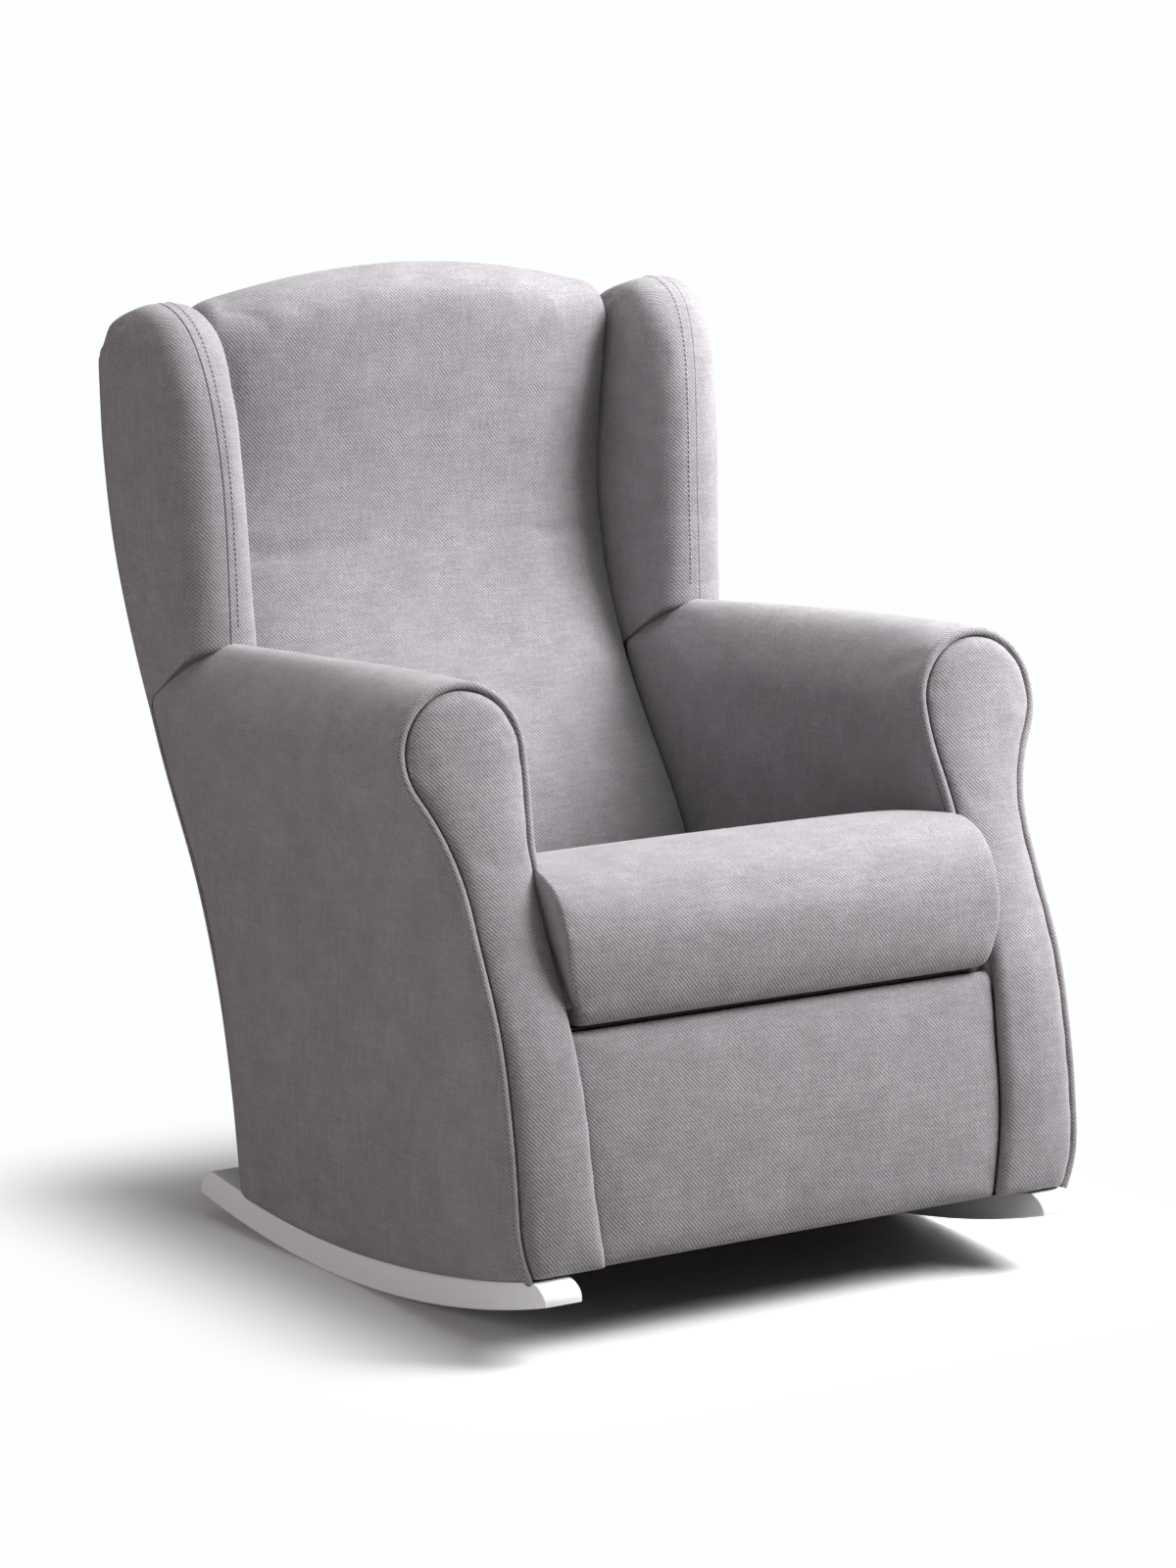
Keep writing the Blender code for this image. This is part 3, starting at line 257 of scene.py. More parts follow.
def runner_top(y):
    """Height of the runner's upper face."""
    fall = np.sqrt(RUNNER_TOP_RADIUS**2 - (np.asarray(y) - RUNNER_REST_Y) ** 2)
    return RUNNER_THICKNESS + RUNNER_TOP_RADIUS - fall


def deck_z(y):
    """Height of the deck under the cushion, which slopes down to the back."""
    return DECK_FRONT[1] - math.tan(DECK_SLOPE) * (y - DECK_FRONT[0])


# ---------------------------------------------------------------- meshes
SIDES = (("left", 1), ("right", -1))  # the sitter's left is +X


def mesh_object(name, points, faces, held=None):
    """A mesh object with outward faces, and a vertex group of what a seam or the frame holds."""
    mesh = bpy.data.meshes.new(name)
    mesh.from_pydata([tuple(p) for p in points], [], faces)
    shape = bmesh.new()
    shape.from_mesh(mesh)
    bmesh.ops.recalc_face_normals(shape, faces=shape.faces)
    shape.to_mesh(mesh)
    shape.free()
    mesh.shade_smooth()
    obj = bpy.data.objects.new(name, mesh)
    bpy.context.scene.collection.objects.link(obj)
    if held is not None:
        group = obj.vertex_groups.new(name="held")
        for index, weight in enumerate(held):
            if weight > 0:
                group.add([index], float(weight), "REPLACE")
    return obj


def pillow(name, outer, inner, free=None):
    """A closed pad between two grids of points: the cover that shows, and its lining.

    The lining and the cover's edge are held. free gives, from 0 to 1, how free each point of the cover is.
    """
    rows, cols, _ = outer.shape
    count = rows * cols
    points = np.concatenate([outer.reshape(-1, 3), inner.reshape(-1, 3)])
    index = np.arange(count).reshape(rows, cols)
    faces = []
    for r in range(rows - 1):
        for c in range(cols - 1):
            quad = [index[r, c], index[r, c + 1], index[r + 1, c + 1], index[r + 1, c]]
            faces.append([int(i) for i in quad])
            faces.append([int(i) + count for i in quad[::-1]])
    rim = [*index[0, :-1], *index[:-1, -1], *index[-1, :0:-1], *index[:0:-1, 0]]
    for a, b in zip(rim, rim[1:] + rim[:1]):
        faces.append([int(b), int(a), int(a) + count, int(b) + count])
    hold = np.ones(2 * count)
    loose = np.ones((rows, cols)) if free is None else np.array(free, float)
    loose[[0, -1], :] = 0
    loose[:, [0, -1]] = 0
    hold[:count] = 1 - loose.reshape(-1)
    return mesh_object(name, points, faces, hold)


def loft(name, rings):
    """A closed body through rings of points, each end closed by a fan of triangles."""
    rings = [np.array(ring) for ring in rings]
    count = len(rings[0])
    points = np.concatenate([*rings, [rings[0].mean(axis=0)], [rings[-1].mean(axis=0)]])
    faces = ring_faces(len(rings), count)
    last = (len(rings) - 1) * count
    for c in range(count):
        d = (c + 1) % count
        faces.append([d, c, len(points) - 2])
        faces.append([last + c, last + d, len(points) - 1])
    return mesh_object(name, points, faces)


def flat_ended(name, rings):
    """A closed body through rings, with a single flat face at each end."""
    count = len(rings[0])
    faces = ring_faces(len(rings), count)
    last = (len(rings) - 1) * count
    faces.append(list(range(count))[::-1])
    faces.append([last + c for c in range(count)])
    obj = mesh_object(name, np.concatenate(rings), faces)
    obj.data.set_sharp_from_angle(angle=math.radians(40))
    return obj


def ring_faces(rings, count):
    """The faces between each ring of points and the next."""
    faces = []
    for r in range(rings - 1):
        for c in range(count):
            d = (c + 1) % count
            faces.append([r * count + c, r * count + d, (r + 1) * count + d, (r + 1) * count + c])
    return faces


def panelled(name, rings, columns, held_rings, held_points):
    """A closed body through rings, its ends closed by rows across.

    The first half of each ring's points faces its second half, and each end has this many columns.
    """
    rings = np.array(rings, float)
    body, count = rings.shape[:2]
    rows = count // 2
    points = [rings.reshape(-1, 3)]
    faces = ring_faces(body, count)
    made = body * count
    for ring, turned in ((0, False), (body - 1, True)):
        start = ring * count
        near, far = rings[ring, :rows], rings[ring, rows:][::-1]
        grid = [[start + k for k in range(rows)]]
        for column in range(1, columns):
            points.append(near + (far - near) * column / columns)
            grid.append(list(range(made, made + rows)))
            made += rows
        grid.append([start + count - 1 - k for k in range(rows)])
        for first, second in zip(grid[:-1], grid[1:]):
            for k in range(rows - 1):
                face = [first[k], first[k + 1], second[k + 1], second[k]]
                faces.append(face if turned else face[::-1])
    points = np.concatenate(points)
    hold = np.zeros(len(points))
    for ring in held_rings:
        hold[ring * count : (ring + 1) * count] = 1
    for ring in range(body):
        hold[ring * count + np.array(held_points)] = 1
    return mesh_object(name, points, faces, hold)


def headings(line):
    """The direction of a line at each of its points."""
    along = np.gradient(line, axis=0)
    return along / np.linalg.norm(along, axis=1)[:, None]


def tube(name, path, radius, around):
    """A round cord along a path, with rounded ends."""
    path = np.array(path, float)
    along = headings(path)
    up = np.cross(along[0], [0.3, 0.9, 0.1])
    turns = np.linspace(0, math.tau, around, endpoint=False)
    rings = []
    for place, heading in zip(path, along):
        up = up - heading * (up @ heading)
        up /= np.linalg.norm(up)
        side = np.cross(heading, up)
        rings.append([place + radius * (math.cos(t) * up + math.sin(t) * side) for t in turns])
    first, last = np.array(rings[0]), np.array(rings[-1])
    start = path[0] - along[0] * radius * 0.6 + (first - path[0]) * 0.55
    end = path[-1] + along[-1] * radius * 0.6 + (last - path[-1]) * 0.55
    return loft(name, [start, *rings, end])


def inset(outline, amount):
    """A closed outline moved inwards; the outline runs anticlockwise."""
    here = np.array(outline, float)
    before = here - np.roll(here, 1, axis=0)
    after = np.roll(here, -1, axis=0) - here
    first = np.stack([-before[:, 1], before[:, 0]], axis=1) / np.linalg.norm(before, axis=1)[:, None]
    second = np.stack([-after[:, 1], after[:, 0]], axis=1) / np.linalg.norm(after, axis=1)[:, None]
    middle = first + second
    return here + middle * (np.asarray(amount) * 2 / np.maximum((middle**2).sum(axis=1), 1.0))[:, None]


def spaced(line, count):
    """The same line with evenly spaced points."""
    line = np.array(line, float)
    run = np.concatenate([[0], np.cumsum(np.linalg.norm(np.diff(line, axis=0), axis=1))])
    at = np.linspace(0, run[-1], count)
    return np.stack([np.interp(at, run, line[:, k]) for k in range(line.shape[1])], axis=1)


def spline(points, per_leg):
    """A smooth open curve through these points, with this many points to each leg."""
    p = np.array([points[0], *points, points[-1]], float)
    out = []
    for i in range(1, len(p) - 2):
        for t in np.linspace(0, 1, per_leg, endpoint=False):
            a = 2 * p[i] + (p[i + 1] - p[i - 1]) * t
            b = (2 * p[i - 1] - 5 * p[i] + 4 * p[i + 1] - p[i + 2]) * t**2
            c = (3 * p[i] - p[i - 1] - 3 * p[i + 1] + p[i + 2]) * t**3
            out.append((a + b + c) / 2)
    return np.array([*out, p[-2]])


def mirrored(points, side):
    """Points written for +X, on the side asked for."""
    return np.array(points) * np.array([side, 1, 1])


def puff(obj, pressure, most):
    """Fills a cover by cloth simulation, lets no point move further than most, and keeps the result."""
    stiffness = 12.0
    frames = 20
    scene = bpy.context.scene
    rest = np.array([v.co for v in obj.data.vertices])
    cloth = obj.modifiers.new("filling", "CLOTH")
    settings = cloth.settings
    settings.quality = 5
    settings.mass = 0.3
    settings.tension_stiffness = stiffness
    settings.compression_stiffness = stiffness
    settings.shear_stiffness = stiffness / 2
    settings.bending_stiffness = 0.4
    settings.use_pressure = True
    settings.uniform_pressure_force = pressure
    settings.vertex_group_mass = "held"
    settings.pin_stiffness = 1.0
    settings.effector_weights.gravity = 0.0
    cloth.collision_settings.use_collision = False
    cloth.collision_settings.use_self_collision = False
    cloth.point_cache.frame_start = 1
    cloth.point_cache.frame_end = frames
    for number in range(1, frames + 1):
        scene.frame_set(number)
    graph = bpy.context.evaluated_depsgraph_get()
    mesh = obj.evaluated_get(graph).to_mesh()
    moved = np.array([v.co for v in mesh.vertices]) - rest
    obj.evaluated_get(graph).to_mesh_clear()
    obj.modifiers.remove(cloth)
    scene.frame_set(1)
    size = np.linalg.norm(moved, axis=1)[:, None] + 1e-9
    moved *= most * np.tanh(size / most) / size
    obj.data.vertices.foreach_set("co", (rest + moved).astype(np.float32).reshape(-1))
    obj.data.update()


def smooth_surface(obj):
    """One subdivision, applied."""
    modifier = obj.modifiers.new("smooth", "SUBSURF")
    modifier.levels = 1
    modifier.render_levels = 1
    graph = bpy.context.evaluated_depsgraph_get()
    mesh = bpy.data.meshes.new_from_object(obj.evaluated_get(graph))
    obj.modifiers.clear()
    obj.data = mesh
    obj.vertex_groups.clear()


def dress(obj, body, material, nodes):
    """Gives a piece its material and body, and hides the frame's nodes that it stands in for."""
    obj.data.materials.clear()
    obj.data.materials.append(bpy.data.materials[material])
    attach(obj, body)
    if nodes:
        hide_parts(*nodes)
    return obj


# ---------------------------------------------------------------- materials
def linear(code):
    """An sRGB hex colour as linear red, green, blue and alpha."""
    values = [int(code[i : i + 2], 16) / 255 for i in (1, 3, 5)]
    return tuple(v / 12.92 if v <= 0.04045 else ((v + 0.055) / 1.055) ** 2.4 for v in values) + (1.0,)


def add(tree, kind, inputs=None, **settings):
    """Adds a node with its settings, and its inputs' values or links; a node links by its first output."""
    node = tree.nodes.new(kind)
    for key, value in settings.items():
        setattr(node, key, value)
    for key, value in (inputs or {}).items():
        if isinstance(value, bpy.types.Node):
            value = value.outputs[0]
        if isinstance(value, bpy.types.NodeSocket):
            tree.links.new(value, node.inputs[key])
        else:
            node.inputs[key].default_value = value
    return node


def blank(name):
    """A material with only its surface shader and output."""
    made = bpy.data.materials.new(name)
    made.use_nodes = True
    tree = made.node_tree
    tree.nodes.clear()
    shader = add(tree, "ShaderNodeBsdfPrincipled")
    add(tree, "ShaderNodeOutputMaterial", {"Surface": shader})
    return tree, shader


def colour_by(tree, shader, amount, stops):
    """Colours the surface by an amount, between stops of position and linear colour."""
    ramp = add(tree, "ShaderNodeValToRGB", {"Fac": amount})
    elements = ramp.color_ramp.elements
    for index, (position, colour) in enumerate(stops):
        element = elements[index] if index < 2 else elements.new(position)
        element.position = position
        element.color = (*colour[:3], 1.0)
    tree.links.new(ramp.outputs[0], shader.inputs["Base Color"])


def cloth_material(name, dark, middle, light, rib):
    """Brushed twill: slanted ribs under a short nap that lies in soft patches, so it looks mottled.

    The nap pales the edges. Ribs, slubs and fibres are drawn coarser than real threads, so that they show.
    """
    tree, shader = blank(name)
    place = add(tree, "ShaderNodeTexCoord").outputs["Object"]
    normal = add(tree, "ShaderNodeNewGeometry").outputs["Normal"]
    parts = add(tree, "ShaderNodeSeparateXYZ", {"Vector": place}).outputs
    facing = add(tree, "ShaderNodeSeparateXYZ", {"Vector": normal}).outputs
    wobble = add(tree, "ShaderNodeTexNoise", {"Vector": place, "Scale": 1 / 0.004, "Detail": 1.0})
    bend = add(tree, "ShaderNodeMath", {0: wobble, 1: 2.2}, operation="MULTIPLY")
    ribs, total = 0.0, 0.0
    for across, along, axis in ((1, 2, 0), (0, 2, 1), (0, 1, 2)):
        towards = add(tree, "ShaderNodeMath", {0: facing[axis]}, operation="ABSOLUTE")
        weight = add(tree, "ShaderNodeMath", {0: towards, 1: 6.0}, operation="POWER")
        slant = {0: parts[along], 1: 0.9, 2: parts[across]}
        slant = add(tree, "ShaderNodeMath", slant, operation="MULTIPLY_ADD")
        other = {0: parts[along], 1: -1.1, 2: parts[across]}
        other = add(tree, "ShaderNodeMath", other, operation="MULTIPLY_ADD")
        phase = {0: slant, 1: math.tau / (rib * 1.345), 2: bend}  # 1.345: a slant's length to its rise
        phase = add(tree, "ShaderNodeMath", phase, operation="MULTIPLY_ADD")
        cross = {0: other, 1: math.tau / (rib * 0.6 * 1.487)}  # the cross threads lie closer
        cross = add(tree, "ShaderNodeMath", cross, operation="MULTIPLY")
        rise = add(tree, "ShaderNodeMath", {0: phase}, operation="SINE")
        weft = add(tree, "ShaderNodeMath", {0: cross}, operation="SINE")
        wave = add(tree, "ShaderNodeMath", {0: weft, 1: 0.55, 2: rise}, operation="MULTIPLY_ADD")
        ribs = add(tree, "ShaderNodeMath", {0: wave, 1: weight, 2: ribs}, operation="MULTIPLY_ADD")
        total = add(tree, "ShaderNodeMath", {0: weight, 1: total}, operation="ADD")
    weave = add(tree, "ShaderNodeMath", {0: ribs, 1: total}, operation="DIVIDE")
    nap = {"Vector": place, "Scale": 1 / 0.045, "Detail": 3.0, "Roughness": 0.6}
    nap = add(tree, "ShaderNodeTexNoise", nap)
    slubs = []
    for stretch in ((1.0, 1.0, 0.12), (0.12, 0.12, 1.0)):
        drawn = add(tree, "ShaderNodeMapping", {"Vector": place, "Scale": stretch})
        slubs.append(add(tree, "ShaderNodeTexNoise", {"Vector": drawn, "Scale": 1 / 0.0032, "Detail": 2.0}))
    fibre = {"Vector": place, "Scale": 1 / 0.0013, "Detail": 2.0, "Roughness": 0.7}
    fibre = add(tree, "ShaderNodeTexNoise", fibre)
    tone = 0.0
    for pattern, share in ((nap, 0.19), (slubs[0], 0.17), (slubs[1], 0.17), (weave, 0.11), (fibre, 0.38)):
        tone = add(tree, "ShaderNodeMath", {0: pattern, 1: share, 2: tone}, operation="MULTIPLY_ADD")
    colour_by(tree, shader, tone, ((0.30, dark), (0.72, light), (0.5, middle)))
    height = add(tree, "ShaderNodeMath", {0: weave, 1: 0.5}, operation="MULTIPLY")
    height = add(tree, "ShaderNodeMath", {0: fibre, 1: 0.9, 2: height}, operation="MULTIPLY_ADD")
    bump = add(tree, "ShaderNodeBump", {"Strength": 0.35, "Distance": 0.0006, "Height": height})
    tree.links.new(bump.outputs[0], shader.inputs["Normal"])
    shader.inputs["Roughness"].default_value = 0.95
    shader.inputs["Sheen Weight"].default_value = 0.25
    shader.inputs["Sheen Roughness"].default_value = 0.45
    shader.inputs["Specular IOR Level"].default_value = 0.2


def thread_material(name, colour, shade):
    """Bonded polyester thread: a twist drawn coarse enough to show, a little shinier than the cloth."""
    tree, shader = blank(name)
    place = add(tree, "ShaderNodeTexCoord").outputs["Object"]
    parts = add(tree, "ShaderNodeSeparateXYZ", {"Vector": place}).outputs
    slant = add(tree, "ShaderNodeMath", {0: parts[1], 1: parts[2]}, operation="ADD")
    slant = add(tree, "ShaderNodeMath", {0: parts[0], 1: slant}, operation="ADD")
    twist = add(tree, "ShaderNodeMath", {0: slant, 1: math.tau / 0.0009}, operation="MULTIPLY")
    twist = add(tree, "ShaderNodeMath", {0: twist}, operation="SINE")
    tone = add(tree, "ShaderNodeMath", {0: twist, 1: 0.5, 2: 0.5}, operation="MULTIPLY_ADD")
    colour_by(tree, shader, tone, ((0.0, shade), (1.0, colour)))
    shader.inputs["Roughness"].default_value = 0.55


def lacquer_material(name, colour, shade):
    """Sprayed satin lacquer on beech: an even white film that shows a trace of the grain and a soft gloss."""
    tree, shader = blank(name)
    place = add(tree, "ShaderNodeTexCoord").outputs["Object"]
    along = add(tree, "ShaderNodeMapping", {"Vector": place, "Scale": (1.0, 0.06, 1.0)})
    grain = {"Vector": along, "Scale": 1 / 0.0012, "Detail": 3.0, "Roughness": 0.6}
    grain = add(tree, "ShaderNodeTexNoise", grain)
    cloudy = add(tree, "ShaderNodeTexNoise", {"Vector": place, "Scale": 1 / 0.05, "Detail": 2.0})
    colour_by(tree, shader, cloudy, ((0.3, shade), (0.7, colour)))
    bump = add(tree, "ShaderNodeBump", {"Strength": 0.12, "Distance": 0.0003, "Height": grain})
    tree.links.new(bump.outputs[0], shader.inputs["Normal"])
    rough = add(tree, "ShaderNodeMath", {0: cloudy, 1: 0.12, 2: 0.30}, operation="MULTIPLY_ADD")
    tree.links.new(rough.outputs[0], shader.inputs["Roughness"])
    shader.inputs["Coat Weight"].default_value = 0.25
    shader.inputs["Coat Roughness"].default_value = 0.25


def timber_material(name, pale, dark, ring):
    """Sawn or pressed timber: grain drawn out along the piece, with darker late wood."""
    tree, shader = blank(name)
    place = add(tree, "ShaderNodeTexCoord").outputs["Object"]
    along = add(tree, "ShaderNodeMapping", {"Vector": place, "Scale": (1.0, 0.08, 0.5)})
    grain = {"Vector": along, "Scale": 1 / ring, "Detail": 5.0, "Roughness": 0.6}
    grain = add(tree, "ShaderNodeTexNoise", grain)
    colour_by(tree, shader, grain, ((0.35, dark), (0.65, pale)))
    bump = add(tree, "ShaderNodeBump", {"Strength": 0.3, "Distance": 0.0004, "Height": grain})
    tree.links.new(bump.outputs[0], shader.inputs["Normal"])
    shader.inputs["Roughness"].default_value = 0.72


def steel_material(name, colour, roughness):
    """Plated or oiled steel: cloudy, with fine scratches."""
    tree, shader = blank(name)
    place = add(tree, "ShaderNodeTexCoord").outputs["Object"]
    cloudy = {"Vector": place, "Scale": 1 / 0.003, "Detail": 4.0, "Roughness": 0.7}
    cloudy = add(tree, "ShaderNodeTexNoise", cloudy)
    rough = {0: cloudy, 1: 0.25, 2: roughness - 0.12}
    rough = add(tree, "ShaderNodeMath", rough, operation="MULTIPLY_ADD")
    tree.links.new(rough.outputs[0], shader.inputs["Roughness"])
    shader.inputs["Base Color"].default_value = colour
    shader.inputs["Metallic"].default_value = 1.0


def plain_weave_material(name, colour, shade, thread):
    """Plain woven or felted cloth under the seat: over and under threads a little coarser than real, matt."""
    tree, shader = blank(name)
    place = add(tree, "ShaderNodeTexCoord").outputs["Object"]
    parts = add(tree, "ShaderNodeSeparateXYZ", {"Vector": place}).outputs
    waves = []
    for part in list(parts):
        turn = add(tree, "ShaderNodeMath", {0: part, 1: math.tau / (2 * thread)}, operation="MULTIPLY")
        waves.append(add(tree, "ShaderNodeMath", {0: turn}, operation="SINE"))
    under = add(tree, "ShaderNodeMath", {0: waves[1], 1: waves[2]}, operation="ADD")
    depth = add(tree, "ShaderNodeMath", {0: waves[0], 1: under}, operation="MULTIPLY")
    fluff = {"Vector": place, "Scale": 1 / 0.004, "Detail": 4.0, "Roughness": 0.7}
    fluff = add(tree, "ShaderNodeTexNoise", fluff)
    tone = add(tree, "ShaderNodeMath", {0: depth, 1: 0.2, 2: fluff}, operation="MULTIPLY_ADD")
    colour_by(tree, shader, tone, ((0.3, shade), (0.7, colour)))
    bump = add(tree, "ShaderNodeBump", {"Strength": 0.4, "Distance": 0.0004, "Height": depth})
    tree.links.new(bump.outputs[0], shader.inputs["Normal"])
    shader.inputs["Roughness"].default_value = 0.95


def paper_material(name, colour, backdrop, bounce):
    """Seamless matt paper: takes the chair's shadow, and runs out into the lit backdrop further off."""
    tree, shader = blank(name)
    place = add(tree, "ShaderNodeTexCoord").outputs["Object"]
    under_chair = (0.30, 0.36, 0.0)  # half the width and depth that stay in shadow
    away = add(tree, "ShaderNodeVectorMath", {0: place}, operation="ABSOLUTE")
    away = add(tree, "ShaderNodeVectorMath", {0: away, 1: under_chair}, operation="SUBTRACT")
    away = add(tree, "ShaderNodeVectorMath", {0: away, 1: (0.0, 0.0, 0.0)}, operation="MAXIMUM")
    away = add(tree, "ShaderNodeVectorMath", {0: away}, operation="LENGTH").outputs["Value"]
    fade = {"Value": away, "From Min": 0.0, "From Max": 0.27}
    far = add(tree, "ShaderNodeMapRange", fade, interpolation_type="SMOOTHSTEP")
    seen = add(tree, "ShaderNodeLightPath").outputs["Is Camera Ray"]
    glow = add(tree, "ShaderNodeEmission", {"Color": backdrop, "Strength": 1.0})
    dim = add(tree, "ShaderNodeBsdfDiffuse", {"Color": bounce})
    paper = add(tree, "ShaderNodeMixShader", {0: far, 1: shader, 2: glow})
    either = add(tree, "ShaderNodeMixShader", {0: seen, 1: dim, 2: paper})
    tree.links.new(either.outputs[0], tree.nodes["Material Output"].inputs[0])
    shader.inputs["Base Color"].default_value = colour
    shader.inputs["Roughness"].default_value = 0.7


# ---------------------------------------------------------------- settings
class ChairSizes(bpy.types.PropertyGroup):
    """Sizes of the covers and trims."""

    welt_radius: FloatProperty(
        name="Welt radius", description="Half the thickness of the piping", default=0.0046, unit="LENGTH"
    )
    seam_depth: FloatProperty(
        name="Seam depth", description="How deep a seam pulls in", default=0.0022, unit="LENGTH"
    )
    stitch_pitch: FloatProperty(
        name="Stitch pitch", description="Topstitch to topstitch", default=0.0052, unit="LENGTH"
    )
    stitch_length: FloatProperty(
        name="Stitch length", description="Length of a topstitch", default=0.0036, unit="LENGTH"
    )
    filling: FloatProperty(
        name="Filling", description="Pressure of the filling in the cloth simulation", default=4.0, min=0.0
    )
    rib: FloatProperty(
        name="Rib spacing", description="Spacing of the cloth's slanted ribs", default=0.0030, unit="LENGTH"
    )
    roll_points: IntProperty(
        name="Points round the roll", description="Mesh points over the arm's roll", default=28, min=8
    )


def colour_property(name, description, code):
    """A colour that a user can change, from its sRGB hex code."""
    return FloatVectorProperty(
        name=name, description=description, subtype="COLOR", size=4, min=0.0, max=1.0, default=linear(code)
    )


class ChairColours(bpy.types.PropertyGroup):
    """Colours of the finishes that show, and of the studio."""

    cloth: colour_property("Cloth", "Main colour of the cloth", "#8b888c")
    cloth_shade: colour_property("Cloth, shade", "Colour between the cloth's ribs", "#6f6c6f")
    cloth_nap: colour_property("Cloth, nap", "Colour of the raised nap", "#a7a4a8")
    thread: colour_property("Thread", "Colour of the topstitches", "#b4b0b5")
    lacquer: colour_property("Lacquer", "Colour of the runners", "#f1f5fa")
    paper: colour_property("Paper", "Colour of the floor under the chair", "#f3f3f5")
    backdrop: colour_property("Backdrop", "Colour behind the chair", "#fdfefe")
    bounce: colour_property("Bounce", "Colour of the light that the floor throws back", "#9e9c9c")
    air: colour_property("Air", "Colour of the light all round", "#fff7f6")


def sizes():
    """The sizes in the panel."""
    return bpy.context.scene.chair_sizes


# ---------------------------------------------------------------- operators
class CHAIR_OT_finishes(bpy.types.Operator):
    """Makes every finish, and gives the frame's own pieces theirs"""

    bl_idname = "chair.finishes"
    bl_label = "Finishes"

    def execute(self, context):
        colours = context.scene.chair_colours
        cloth_material("brushed_twill", colours.cloth_shade, colours.cloth, colours.cloth_nap, sizes().rib)
        thread_material("sewing_thread", colours.thread, linear("#7f7c81"))
        lacquer_material("lacquered_beech", colours.lacquer, linear("#e9eef4"))
        timber_material("sawn_pine", linear("#d9b98a"), linear("#b58a58"), 0.0035)
        timber_material("plywood", linear("#cfae7e"), linear("#b08a5c"), 0.002)
        timber_material("hardboard", linear("#6d4c33"), linear("#543722"), 0.0012)
        steel_material("zinc_plated_steel", linear("#b9bab5"), 0.38)
        steel_material("blued_spring_steel", linear("#45464a"), 0.42)
        plain_weave_material("elastic_webbing", linear("#33332f"), linear("#1d1d1c"), 0.0016)
        plain_weave_material("cotton_deck_cloth", linear("#6f6a6d"), linear("#565256"), 0.0014)
        plain_weave_material("spunbond_dust_cloth", linear("#1b1b1c"), linear("#0e0e0f"), 0.0018)
        finish_of = {
            "upholstery_cloth": "brushed_twill",
            "lacquered_beech": "lacquered_beech",
            "pine": "sawn_pine",
            "plywood": "plywood",
            "hardboard": "hardboard",
            "zinc_steel": "zinc_plated_steel",
            "spring_steel": "blued_spring_steel",
            "webbing": "elastic_webbing",
            "deck_cloth": "cotton_deck_cloth",
            "dust_cloth": "spunbond_dust_cloth",
        }
        for piece in frame["record"]["subparts"]:
            obj = frame["nodes"][piece["node"]]
            obj.data.materials.clear()
            obj.data.materials.append(bpy.data.materials[finish_of[piece["material_slot"]]])
        return {"FINISHED"}


def runner_outline():
    """The runner from the side, anticlockwise: arcs below and above, and tips whose tops round down."""
    front, back = low("runner_left").y, high("runner_left").y
    tip = 0.026  # length of the rounding at the tip
    blunt = 0.004  # height of the tip's end
    under_y = np.linspace(front, back, 90)
    drop = RUNNER_RADIUS - np.sqrt(RUNNER_RADIUS**2 - (under_y - RUNNER_REST_Y) ** 2)
    ends = []
    for end_y, way, tip_z in ((back, -1, drop[-1]), (front, 1, drop[0])):
        start_z = float(runner_top(end_y + way * tip))
        turns = np.linspace(0, math.pi / 2, 9)
        fall = (tip_z + blunt - start_z) * (1 - np.cos(turns))
        ends.append(np.stack([end_y + way * tip * (1 - np.sin(turns)), start_z + fall], axis=1))
    top_y = np.linspace(back - tip, front + tip, 70)[1:-1]
    top = np.stack([top_y, runner_top(top_y)], axis=1)
    return np.concatenate([np.stack([under_y, drop], axis=1), ends[0][::-1], top, ends[1]])


class CHAIR_OT_runners(bpy.types.Operator):
    """Makes the two lacquered runners with eased edges"""

    bl_idname = "chair.runners"
    bl_label = "Runners"

    def execute(self, context):
        outline = runner_outline()
        near, far = low("runner_left").x, high("runner_left").x
        for ending, side in SIDES:
            rings = []
            for turn in np.linspace(math.pi / 2, 0, 5):
                rings.append((near + RUNNER_EASE * (1 - math.sin(turn)), RUNNER_EASE * (1 - math.cos(turn))))
            rings += [(far - (x - near), amount) for x, amount in rings[::-1]]
            body = []
            for x, amount in rings:
                ring = inset(outline, amount)
                ring[:, 1] = np.maximum(ring[:, 1], 0.0)
                body.append(mirrored([(x, y, z) for y, z in ring], side))
            obj = flat_ended(f"lacquered_runner_{ending}", body)
            dress(obj, "chair", "lacquered_beech", [f"runner_{ending}"])
        return {"FINISHED"}


